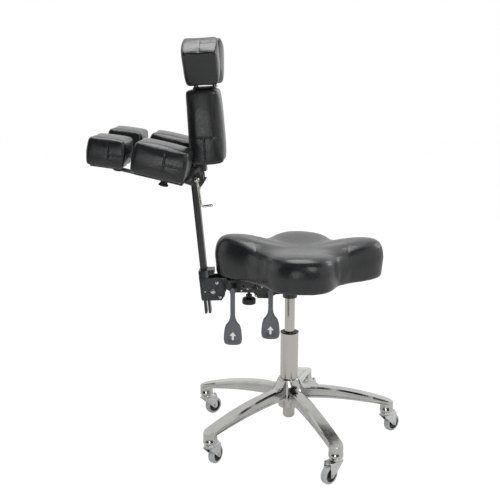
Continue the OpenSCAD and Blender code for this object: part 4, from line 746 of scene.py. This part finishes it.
def pad_mesh(length, width, thick, slope, tuck=0.0):
    """The foam of a pad, flat below, crowned above, as rings from its underside up; tuck
    draws in its sides towards one end."""
    rim, top, crown, bulge = thick * PAD_RIM, thick * PAD_TOP_RIM, thick * PAD_CROWN, thick * PAD_BULGE
    high = thick - crown
    small = min(length, width)
    steps = [(rim, 0), (rim * 0.3, rim * 0.3), (0, rim)]
    steps += [(-bulge * 0.75, high * 0.26), (-bulge, high * 0.48), (-bulge * 0.75, high * 0.68)]
    steps += [(0, high - top), (top * 0.3, high - top * 0.3), (top, high), (top + small * PAD_DOME, high + crown * 0.7)]
    vertices = [Vector((0, 0, 0))]
    for inset, z in steps:
        inset += bulge
        ring = pad_outline(length - 2 * inset, width - 2 * inset, small * PAD_CORNER, width * PAD_DRAW)
        for p in ring:
            draw = math.sqrt(1 - tuck * min(1.0, max(0.0, (-p.x / length - 0.1) / 0.4)) ** 3)
            vertices.append(Vector((p.x, p.y * draw, z * (1 - slope * p.x / length))))
    vertices.append(Vector((0, 0, thick)))
    return vertices, capped(len(steps), len(ring))


def mesh_points(mesh, key="co"):
    """The places or normals of a mesh's vertices as rows of an array."""
    values = np.empty(len(mesh.vertices) * 3)
    mesh.vertices.foreach_get(key, values)
    return values.reshape(-1, 3)


def move_points(mesh, places):
    """Sets the places of a mesh's vertices."""
    mesh.vertices.foreach_set("co", places.ravel())
    mesh.update()


def stuffed(name, vertices, faces, voxel, place, floor_z):
    """Remeshes a foam form in its own frame, lets a pressed cloth relax over it, smooths it
    and sets it in place. What rests on a plate at floor_z stays flat there."""
    mesh = bpy.data.meshes.new(name)
    mesh.from_pydata([tuple(v) for v in vertices], [], faces)
    piece = linked(name, mesh)
    bm = bmesh.new()
    bm.from_mesh(mesh)
    bmesh.ops.recalc_face_normals(bm, faces=bm.faces)
    bm.to_mesh(mesh)
    bm.free()
    remesh = piece.modifiers.new("even", "REMESH")
    remesh.mode = "VOXEL"
    remesh.voxel_size = voxel
    baked(piece)
    mesh = piece.data
    rest = mesh_points(mesh)
    normals = np.array([v.normal for v in mesh.vertices])
    moved = rest - normals * COVER_SHRINK
    move_points(mesh, moved)
    cloth = piece.modifiers.new("cover", "CLOTH")
    for key, value in (
        ("quality", 4), ("mass", 0.3), ("tension_stiffness", 12), ("compression_stiffness", 12),
        ("shear_stiffness", 6), ("bending_stiffness", 4), ("use_pressure", True), ("uniform_pressure_force", 2.4),
    ):
        setattr(cloth.settings, key, value)
    cloth.settings.effector_weights.gravity = 0
    cloth.point_cache.frame_start = 1
    cloth.point_cache.frame_end = CLOTH_FRAMES
    scene = bpy.context.scene
    for f in range(1, CLOTH_FRAMES + 1):
        scene.frame_set(f)
    graph = bpy.context.evaluated_depsgraph_get()
    moved = mesh_points(piece.evaluated_get(graph).to_mesh())
    piece.modifiers.remove(cloth)
    scene.frame_set(1)
    step = moved - rest
    length = np.linalg.norm(step, axis=1)
    moved = rest + step * (np.minimum(length, COVER_TRAVEL) / np.maximum(length, 1e-9))[:, None]
    moved[:, 2] = np.maximum(moved[:, 2], floor_z)
    move_points(mesh, moved)
    smooth = piece.modifiers.new("even", "SMOOTH")
    smooth.factor = 0.5
    smooth.iterations = COVER_ROUNDS
    divide = piece.modifiers.new("fine", "SUBSURF")
    divide.levels = divide.render_levels = 1
    baked(piece)
    piece.data.transform(place)
    if place.determinant() < 0:
        piece.data.flip_normals()
    return piece


def stitch_tree(name):
    """Geometry Nodes: short thread stitches along sewn lines, laid on the surface."""
    group, start = growing_group(name, "Pitch", "Thread")
    line = put(group, "GeometryNodeMeshToCurve", {"Mesh": start["Geometry"]}).outputs["Curve"]
    even = put(group, "GeometryNodeResampleCurve", {"Curve": line, "Length": start["Pitch"]}, mode="LENGTH")
    ball = put(group, "GeometryNodeMeshIcoSphere", {"Radius": start["Thread"], "Subdivisions": 1})
    long = put(group, "ShaderNodeMath", {0: start["Pitch"], 1: start["Thread"]}, operation="DIVIDE")
    share = put(group, "ShaderNodeMath", {0: long.outputs[0], 1: 0.36}, operation="MULTIPLY")
    scale = put(group, "ShaderNodeCombineXYZ", {"X": 1.0, "Y": 1.0, "Z": share.outputs[0]})
    stitch = put(group, "GeometryNodeTransform", {"Geometry": ball.outputs["Mesh"], "Scale": scale.outputs["Vector"]})
    along = put(group, "GeometryNodeInputTangent")
    turn = put(group, "FunctionNodeAlignRotationToVector", {"Vector": along.outputs["Tangent"]}, axis="Z")
    return set_out(group, start, even.outputs["Curve"], stitch.outputs["Geometry"], turn.outputs["Rotation"])


sewn_rows = stitch_tree("sewn_rows")
SEAM_DEPTH, SEAM_WIDTH = mm, 1.7 * mm
PUCKER, PUCKER_PITCH, PUCKER_REACH = 0.1 * mm, 12 * mm, 9 * mm
STITCH_PITCH, THREAD_RADIUS, STITCH_OFFSET = 4.5 * mm, 0.34 * mm, 3.2 * mm


def laid_on(tree_of_faces, starts, ways):
    """Where rays from the start points meet the surface, with its normals there."""
    spots = []
    for p, way in zip(starts, ways):
        spot, normal, _, _ = tree_of_faces.ray_cast(Vector(p), Vector(way), 0.4)
        if spot is not None:
            spots.append((spot, normal))
    return spots


def sew(piece, seams, body):
    """Presses each seam into the piece, with small puckers beside it, and adds its stitches.
    A seam is (start points, ray directions, rows, depth): rows is 0, 1 or 2 lines of stitches."""
    mesh = piece.data
    polygons = [tuple(p.vertices) for p in mesh.polygons]
    faces_tree = BVHTree.FromPolygons([v.co for v in mesh.vertices], polygons)
    lines = [(laid_on(faces_tree, starts, ways), rows, depth) for starts, ways, rows, depth in seams]
    lines = [line for line in lines if len(line[0]) > 3]
    if not lines:
        return
    lookup = KDTree(sum(len(line) for line, _, _ in lines))
    run, depths = [], []
    for line, _, depth in lines:
        travelled = 0.0
        for i, (spot, _) in enumerate(line):
            travelled += (spot - line[i - 1][0]).length if i else 0.0
            lookup.insert(spot, len(run))
            run.append(travelled)
            depths.append(depth)
    lookup.balance()
    places = mesh_points(mesh)
    found = [lookup.find(p) for p in places]
    away = np.array([f[2] for f in found])
    along = np.array(run)[[f[1] for f in found]]
    deep = np.array(depths)[[f[1] for f in found]]
    groove = SEAM_DEPTH * np.exp(-((away / SEAM_WIDTH) ** 2))
    waves = np.sin(2 * math.pi * along / PUCKER_PITCH + 3 * np.sin(along * 97))
    fold = PUCKER * waves * np.exp(-((away / PUCKER_REACH) ** 2))
    places -= mesh_points(mesh, "normal") * (deep * (groove + fold * np.minimum(1.0, away / SEAM_WIDTH)))[:, None]
    move_points(mesh, places)
    faces_tree = BVHTree.FromPolygons(places.tolist(), polygons)
    points, outs, edges = [], [], []
    for line, rows, _ in lines:
        for side in ((-1, 1) if rows == 2 else (1,) if rows else ()):
            first = len(points)
            for i, (spot, normal) in enumerate(line):
                along = (line[min(i + 1, len(line) - 1)][0] - line[max(i - 1, 0)][0]).normalized()
                beside = spot + along.cross(normal) * STITCH_OFFSET * side
                near, out, _, _ = faces_tree.find_nearest(beside)
                points.append(near + out * THREAD_RADIUS * 0.25)
                outs.append(out)
            edges += [(first + i, first + i + 1) for i in range(len(line) - 1)]
    if points:
        sizes = {"Pitch": STITCH_PITCH, "Thread": THREAD_RADIUS}
        grown(f"{piece.name}_stitches", points, outs, sewn_rows, sizes, thread, body, edges)


def run_line(place, points, way, step=2 * mm):
    """Points every two millimetres along a line in a pad's own frame, and ray directions."""
    starts, ways = [], []
    turned = place.to_3x3() @ Vector(way)
    for a, b in zip(points[:-1], points[1:]):
        a, b = Vector(a), Vector(b)
        n = max(1, int((b - a).length / step))
        for i in range(n):
            starts.append(place @ (a + (b - a) * i / n))
            ways.append(turned)
    starts.append(place @ Vector(points[-1]))
    ways.append(turned)
    return starts, ways


def ring_line(place, length, width, height, slope=0.0):
    """A line all round a pad at one height, met by rays from outside."""
    starts, ways = [], []
    outline = pad_outline(length + 40 * mm, width + 40 * mm, min(length, width) * PAD_CORNER + 20 * mm, 0, 14, 40)
    n = len(outline)
    for i in range(n + 1):
        p, a, b = outline[i % n], outline[i - 1], outline[(i + 1) % n]
        along = (b - a).normalized()
        inward = Vector((-along.y, along.x, 0))
        z = height * (1 - slope * p.x / length)
        starts.append(place @ Vector((p.x, p.y, z)))
        ways.append(place.to_3x3() @ inward)
    return starts, ways


def turn_y(degrees):
    """A turn about Y."""
    return Matrix.Rotation(math.radians(degrees), 4, "Y")


def moved_by(x, y, z):
    """A shift."""
    return Matrix.Translation((x, y, z))


def boxing_seams(join, end, thick, middle, rows, beyond=BEYOND):
    """The boxing's seams: a join down each long side, and one along the near side from it."""
    top = thick - 2 * SKIRT
    return [
        ([(join, -beyond, SKIRT), (join, -beyond, top)], (0, 1, 0), 1),
        ([(join, -beyond, middle), (end, -beyond, middle)], (0, 1, 0), rows),
        ([(-join, beyond, SKIRT), (-join, beyond, top)], (0, -1, 0), 1),
    ]


def pad_piece(name, body, size, slope, place, seams, tuck=0.0):
    """One upholstered pad: foam, cover, panel seams and stitches."""
    length, width, thick = size
    grown_size = (length + 2 * PAD_SWELL, width + 2 * PAD_SWELL, thick + PAD_SWELL)
    piece = stuffed(f"{name}_cover", *pad_mesh(*grown_size, slope, tuck), COVER_VOXEL, place, 0)
    lines = [(*run_line(place, points, way), rows, 1.0) for points, way, rows in seams]
    for height, depth in ((0.93, 0.25), (0.07, 0.35)):
        lines.append((*ring_line(place, length, width, thick * height, slope), 0, depth))
    sew(piece, lines, body)
    finish_piece(piece, leather, body, (name,), 70)


BACK_LENGTH, BACK_WIDTH, BACK_THICK, BACK_SLOPE = 194 * mm, 104 * mm, 88 * mm, -6 / 88
BACK_JOIN, BACK_BEYOND = 26 * mm, 0.12
back_corner = moved_by(-219 * mm, 0, 775 * mm) @ turn_y(-2.9)
back_place = back_corner @ moved_by(-BACK_THICK / 2, 0, BACK_LENGTH / 2) @ turn_y(90)
back_middle = BACK_THICK * 0.5 - 3 * mm
back_seams = boxing_seams(BACK_JOIN, BACK_LENGTH / 2 - 2 * mm, BACK_THICK, back_middle, 2, BACK_BEYOND)
pad_piece("back_pad", "head", (BACK_LENGTH, BACK_WIDTH, BACK_THICK), BACK_SLOPE, back_place, back_seams)

ARM_WIDTH, ARM_X, ARM_Y, ARM_Z, ARM_TILT = 120 * mm, -318 * mm, 118 * mm, 753 * mm, 13
INNER_LENGTH, INNER_THICK, INNER_BACK = 138 * mm, 81 * mm, 54 * mm
OUTER_LENGTH, OUTER_THICK, OUTER_TILT, OUTER_HINGE = 94 * mm, 71 * mm, 7.4, 24 * mm
INNER_JOIN, OUTER_JOIN = 12 * mm, 6 * mm
outer_x = INNER_BACK - INNER_LENGTH - 14 * mm - OUTER_HINGE
inner_seams = boxing_seams(INNER_JOIN, INNER_LENGTH / 2 - 12 * mm, INNER_THICK, INNER_THICK * 0.47, 2)
outer_seams = boxing_seams(OUTER_JOIN, OUTER_LENGTH / 2 - 10 * mm, OUTER_THICK, OUTER_THICK * 0.45, 1)
for side, s in (("near", -1), ("far", 1)):
    arm = moved_by(ARM_X, s * ARM_Y, ARM_Z) @ turn_y(ARM_TILT)
    inner_place = arm @ moved_by(INNER_BACK - INNER_LENGTH / 2, 0, 0.3 * mm)
    inner_size = (INNER_LENGTH, ARM_WIDTH, INNER_THICK)
    pad_piece(f"{side}_inner_pad", f"{side}_inner_arm", inner_size, 0, inner_place, inner_seams)
    outer_place = arm @ moved_by(outer_x, 0, -2.4 * mm) @ turn_y(OUTER_TILT - ARM_TILT)
    outer_place = outer_place @ moved_by(OUTER_HINGE - OUTER_LENGTH / 2, 0, 3.3 * mm)
    outer_size = (OUTER_LENGTH, ARM_WIDTH, OUTER_THICK)
    pad_piece(f"{side}_outer_pad", f"{side}_outer_arm", outer_size, 0, outer_place, outer_seams)

TOP_LENGTH, TOP_WIDTH, TOP_THICK, TOP_TURN, TOP_TUCK = 100 * mm, 90 * mm, 85 * mm, 60, 0.28
HINGE_Y, HINGE_GAP = 24 * mm, 16 * mm
top_seams = [
    ([(BEYOND, 0, SKIRT), (BEYOND, 0, TOP_THICK - 2 * SKIRT)], (-1, 0, 0), 1),
    ([(BEYOND, 0, TOP_THICK * 0.5), (BEYOND, -TOP_WIDTH / 2 + SKIRT, TOP_THICK * 0.5)], (-1, 0, 0), 2),
]
for side, s in (("near", -1), ("far", 1)):
    hinge = back_corner @ moved_by(4 * mm, s * HINGE_Y, BACK_LENGTH + HINGE_GAP)
    top_place = hinge @ Matrix.Diagonal((1, s, 1, 1)) @ Matrix.Rotation(math.radians(TOP_TURN), 4, "X")
    top_place = top_place @ moved_by(0, 15.3 * mm + TOP_LENGTH / 2 + 0.3 * mm, -51 * mm)
    top_place = top_place @ Matrix.Rotation(math.pi / 2, 4, "Z")
    top_size = (TOP_LENGTH, TOP_WIDTH, TOP_THICK)
    pad_piece(f"{side}_top_pad", f"{side}_top", top_size, 0, top_place, top_seams, TOP_TUCK)

# ---------------------------------------------------------------------------------------
# Seat cushion: four lobes round a shallow dish, one thick foam block on the plywood board.
# Its cover has a seam round the edge and a stitched one across on each side of the dish.
# ---------------------------------------------------------------------------------------
SEAT_LOW, SEAT_MID, SEAT_X = 470 * mm, 548 * mm, 30 * mm
REACHES = (221 * mm, 203 * mm, 236 * mm, 205 * mm)
RISES = (27 * mm, 10 * mm, 34 * mm, 12 * mm)
LOBE_TURNS = (0, 96, 180, 270)
FAR_POWERS, NEAR_POWERS = (7, 6, 8, 4), (5, 6, 5, 4)
BREADTHS = (1.0, 1.7, 1.0, 1.7)
WAIST = 152 * mm
BACK_WAIST_FILL, RIM_DROP, EDGE_DROP = 12 * mm, 5 * mm, 7 * mm
SEAM_X, SEAM_REACH, SEAT_SIDES = 120 * mm, 98 * mm, 144
BOARD_THICK, BOARD_INSET = 12 * mm, 22 * mm


def lobe_share(degrees):
    """Which lobe a direction belongs to, and how fully it lies on it."""
    k = int(math.floor((degrees % 360 + 45) / 90)) % 4
    off = abs((degrees + 45) % 90 - 45) / 45
    return k, 0.0 if off >= 1 else math.cos(math.pi / 2 * off ** BREADTHS[k]) ** 3


def seat_reach(degrees):
    """How far the cushion's side lies from its middle in a direction."""
    k, share = lobe_share(degrees)
    fill = 0.0
    if 105 < degrees < 255 and abs(degrees - 180) >= 15:
        fill = max(0.0, math.cos(math.radians(min(abs(degrees - 135), abs(degrees - 225)) * 3)))
    return WAIST + (REACHES[k] - WAIST) * share + BACK_WAIST_FILL * fill**2


def seat_height(degrees, s):
    """The cushion's top above its underside, at a share s of the way out."""
    bump_share = math.sin(math.pi / 2 * min(1.0, s / 0.84)) ** 2.3
    powers = NEAR_POWERS if degrees % 360 > 180 else FAR_POWERS
    rise = sum(RISES[k] * max(0.0, math.cos(math.radians(degrees - LOBE_TURNS[k]))) ** powers[k] for k in range(4))
    return SEAT_MID - SEAT_LOW + rise * bump_share - EDGE_DROP * s**8


side_steps = [(0.035, 0.0), (0.022, 0.05), (0.014, 0.28), (0.002, 0.52), (0.01, 0.72)]
top_steps = [(0.032, 0.87), (0.066, 0.95), (0.11, 0.987)]
top_steps += [(inset, 1) for inset in (0.16, 0.28, 0.36, 0.44, 0.55, 0.66, 0.8)]
seat_vertices = [Vector((SEAT_X, 0, SEAT_LOW + BOARD_THICK))]
for z in (SEAT_LOW + BOARD_THICK, SEAT_LOW):
    for i in range(SEAT_SIDES):
        a = 2 * math.pi * i / SEAT_SIDES
        r = seat_reach(360 * i / SEAT_SIDES) - BOARD_INSET + 0.3 * mm
        seat_vertices.append(Vector((SEAT_X + r * math.cos(a), r * math.sin(a), z)))
for rim, steps in ((True, side_steps), (False, top_steps)):
    for inset, rise in steps:
        for i in range(SEAT_SIDES):
            degrees = 360 * i / SEAT_SIDES
            s = 1 - inset
            r = seat_reach(degrees) * s
            a = math.radians(degrees)
            k, share = lobe_share(degrees)
            z = SEAT_LOW + rise * seat_height(degrees, 1.0 if rim else s) - RIM_DROP * (k % 2) * share * (1 - rise)
            seat_vertices.append(Vector((SEAT_X + r * math.cos(a), r * math.sin(a), z)))
seat_vertices.append(Vector((SEAT_X, 0, SEAT_MID)))
seat_faces = capped(2 + len(side_steps) + len(top_steps), SEAT_SIDES)
in_place, rim_z = Matrix.Identity(4), SEAT_LOW - RIM_DROP
seat = stuffed("seat_cushion_cover", seat_vertices, seat_faces, SEAT_VOXEL, in_place, rim_z)

edge_points, edge_ways = [], []
for i in range(721):
    degrees = 360 * i / 720
    a = math.radians(degrees)
    z = SEAT_LOW + 0.9 * seat_height(degrees, 0.95)
    out = Vector((math.cos(a), math.sin(a), 0))
    edge_points.append(Vector((SEAT_X, 0, z)) + out * (seat_reach(degrees) + 0.05))
    edge_ways.append(-out)
seat_seams = [(edge_points, edge_ways, 0, 0.4)]
for s in (-1, 1):
    across = [Vector((SEAT_X + s * SEAM_X, (i / 40 - 1) * SEAM_REACH, SEAT_MID + 0.1)) for i in range(81)]
    seat_seams.append((across, [Vector((0, 0, -1))] * len(across), 1, 0.9))
sew(seat, seat_seams, "seat_frame")
finish_piece(seat, leather, "seat_frame", ("seat_cushion",), 70)

# ---------------------------------------------------------------------------------------
# Arm locks: moulded star knobs under the inner pads, screwed on the pivot studs.
# ---------------------------------------------------------------------------------------
for side, s in (("near", -1), ("far", 1)):
    arm = moved_by(ARM_X, s * ARM_Y, ARM_Z) @ turn_y(ARM_TILT)
    top, bore = -10.9 * mm, 4.05 * mm
    knob = [(bore, top - 13 * mm), (8 * mm, top - 13 * mm)] + arc_points(10.5 * mm, top - 9.5 * mm, 3 * mm, -60, 90, 8)
    knob += [(10 * mm, top - 4 * mm), (8.4 * mm, top), (bore, top), (bore, top - 13 * mm)]
    new_piece(f"{side}_arm_knob_skin", *revolve(knob, 96, arm, 6, 0.12, 9 * mm), black_plastic,
              f"{side}_arm_lock", (f"{side}_arm_knob",), "black_plastic", 30)

# ---------------------------------------------------------------------------------------
# Studio: a white sweep, one broad soft light overhead and three weaker ones, an unlit room
# that only reflections show, and a camera where the photographer stood.
# ---------------------------------------------------------------------------------------
CAMERA_PLACE = (0.0, -2.21, 1.05)
CAMERA_TURN, CAMERA_PITCH = 2.83, 13.0
FOCAL_PIXELS, FRAME_PIXELS, SENSOR = 840.0, 500.0, 36.0

WHITE, SWEEP_SIZE = (1, 1, 1, 1), 18


def seen_rays(tree):
    """Shader nodes: 1 for rays that the camera, a mirror or glass sends; and the path's outputs."""
    path = put(tree, "ShaderNodeLightPath").outputs
    seen = put(tree, "ShaderNodeMath", {0: path["Is Camera Ray"], 1: path["Is Glossy Ray"]}, operation="MAXIMUM")
    seen = put(tree, "ShaderNodeMath", {0: seen.outputs[0], 1: path["Is Transmission Ray"]}, operation="MAXIMUM")
    return seen.outputs[0], path


def sheets(name, cards, material):
    """Flat cards that belong to the studio."""
    mesh = bpy.data.meshes.new(name)
    corners = [tuple(range(4 * k, 4 * k + 4)) for k in range(len(cards))]
    mesh.from_pydata([p for card in cards for p in card], [], corners)
    mesh.materials.append(material)
    return linked(name, mesh)


# Painted sweep: pure white to the eye and pale grey as a light bouncer. Mirrors see it half white glow, half lit grey
# paint: painted shade that dims the floor in reflections.
sweep, shader = new_material("painted_sweep", base_color=linear("#d9d9d9"), roughness=0.9)
tree = shader.id_data
seen, path = seen_rays(tree)
glow = put(tree, "ShaderNodeEmission", {"Color": WHITE, "Strength": 0.93})
veil = put(tree, "ShaderNodeBsdfDiffuse", {"Color": (0.16, 0.16, 0.16, 1)})
both = put(tree, "ShaderNodeAddShader", {0: veil.outputs[0], 1: glow.outputs[0]})
# Glossy rays get only half the white glow: painted shade on the floor as reflections show it.
reflection_shade = put(tree, "ShaderNodeMath", {0: path["Is Glossy Ray"], 1: 0.5}, operation="MULTIPLY")
share = put(tree, "ShaderNodeMath", {0: seen, 1: reflection_shade.outputs[0]}, operation="SUBTRACT")
mixed = put(tree, "ShaderNodeMixShader", {0: share.outputs[0], 1: shader.outputs[0], 2: both.outputs[0]})
tree.links.new(mixed.outputs[0], tree.nodes["Material Output"].inputs["Surface"])
far = SWEEP_SIZE / 2
floor = sheets("floor", [[(-far, -far, 0), (far, -far, 0), (far, far, 0), (-far, far, 0)]], sweep)

# The unlit room round the photographer and above the lamps: back wall, ceiling, left wall and
# floor card, which only reflections show.
dark_room, shader = new_material("unlit_room", base_color=linear("#2a2a2b"), roughness=0.9)
left, right, back = -4, 4, -4.2
foot, ceiling, over_floor = 0.05, 3.4, 0.004
room = sheets("room", [
    [(left, back, foot), (right, back, foot), (right, back, ceiling), (left, back, ceiling)],
    [(left, back, ceiling), (right, back, ceiling), (right, -0.5, ceiling), (left, -0.5, ceiling)],
    [(left, back, foot), (left, -1.2, foot), (left, -1.2, ceiling), (left, back, ceiling)],
    [(left, back, over_floor), (right, back, over_floor), (right, -2.2, over_floor), (left, -2.2, over_floor)],
], dark_room)
room.visible_camera = room.visible_diffuse = room.visible_shadow = False

world = bpy.data.worlds.new("studio")
bpy.context.scene.world = world
world.use_nodes = True
tree = world.node_tree
seen, _ = seen_rays(tree)
dim = put(tree, "ShaderNodeBackground", {"Color": WHITE, "Strength": 0.4})
bright = put(tree, "ShaderNodeBackground", {"Color": WHITE, "Strength": 1.0})
mixed = put(tree, "ShaderNodeMixShader", {0: seen, 1: dim.outputs[0], 2: bright.outputs[0]})
tree.links.new(mixed.outputs[0], tree.nodes["World Output"].inputs["Surface"])


def soft_light(name, place, aim, size, power):
    """A rectangular lamp aimed at a point."""
    lamp = bpy.data.lights.new(name, "AREA")
    lamp.shape = "RECTANGLE"
    lamp.size, lamp.size_y = size
    lamp.energy = power
    holder = linked(name, lamp)
    holder.location = place
    holder.rotation_euler = (Vector(aim) - Vector(place)).to_track_quat("-Z", "Y").to_euler()


soft_light("overhead", (-0.1, 0.25, 2.9), (0, 0, 0.5), (1.5, 2.0), 50)
soft_light("front_right", (1.3, -2.9, 1.9), (-0.1, 0, 0.6), (1.2, 1.2), 22)
soft_light("right_back", (2.4, 1.2, 1.8), (0, 0, 0.5), (1.0, 1.4), 15)
soft_light("behind_camera", (-0.6, -3.5, 0.55), (-0.3, 0, 0.8), (0.8, 0.6), 10)

camera_data = bpy.data.cameras.new("camera")
camera_data.sensor_width = SENSOR
camera_data.lens = FOCAL_PIXELS / FRAME_PIXELS * SENSOR
camera = linked("camera", camera_data)
camera.location = CAMERA_PLACE
camera.rotation_euler = (math.radians(90 - CAMERA_PITCH), 0, math.radians(CAMERA_TURN))
bpy.context.scene.camera = camera
bpy.context.scene.view_settings.view_transform = "Standard"
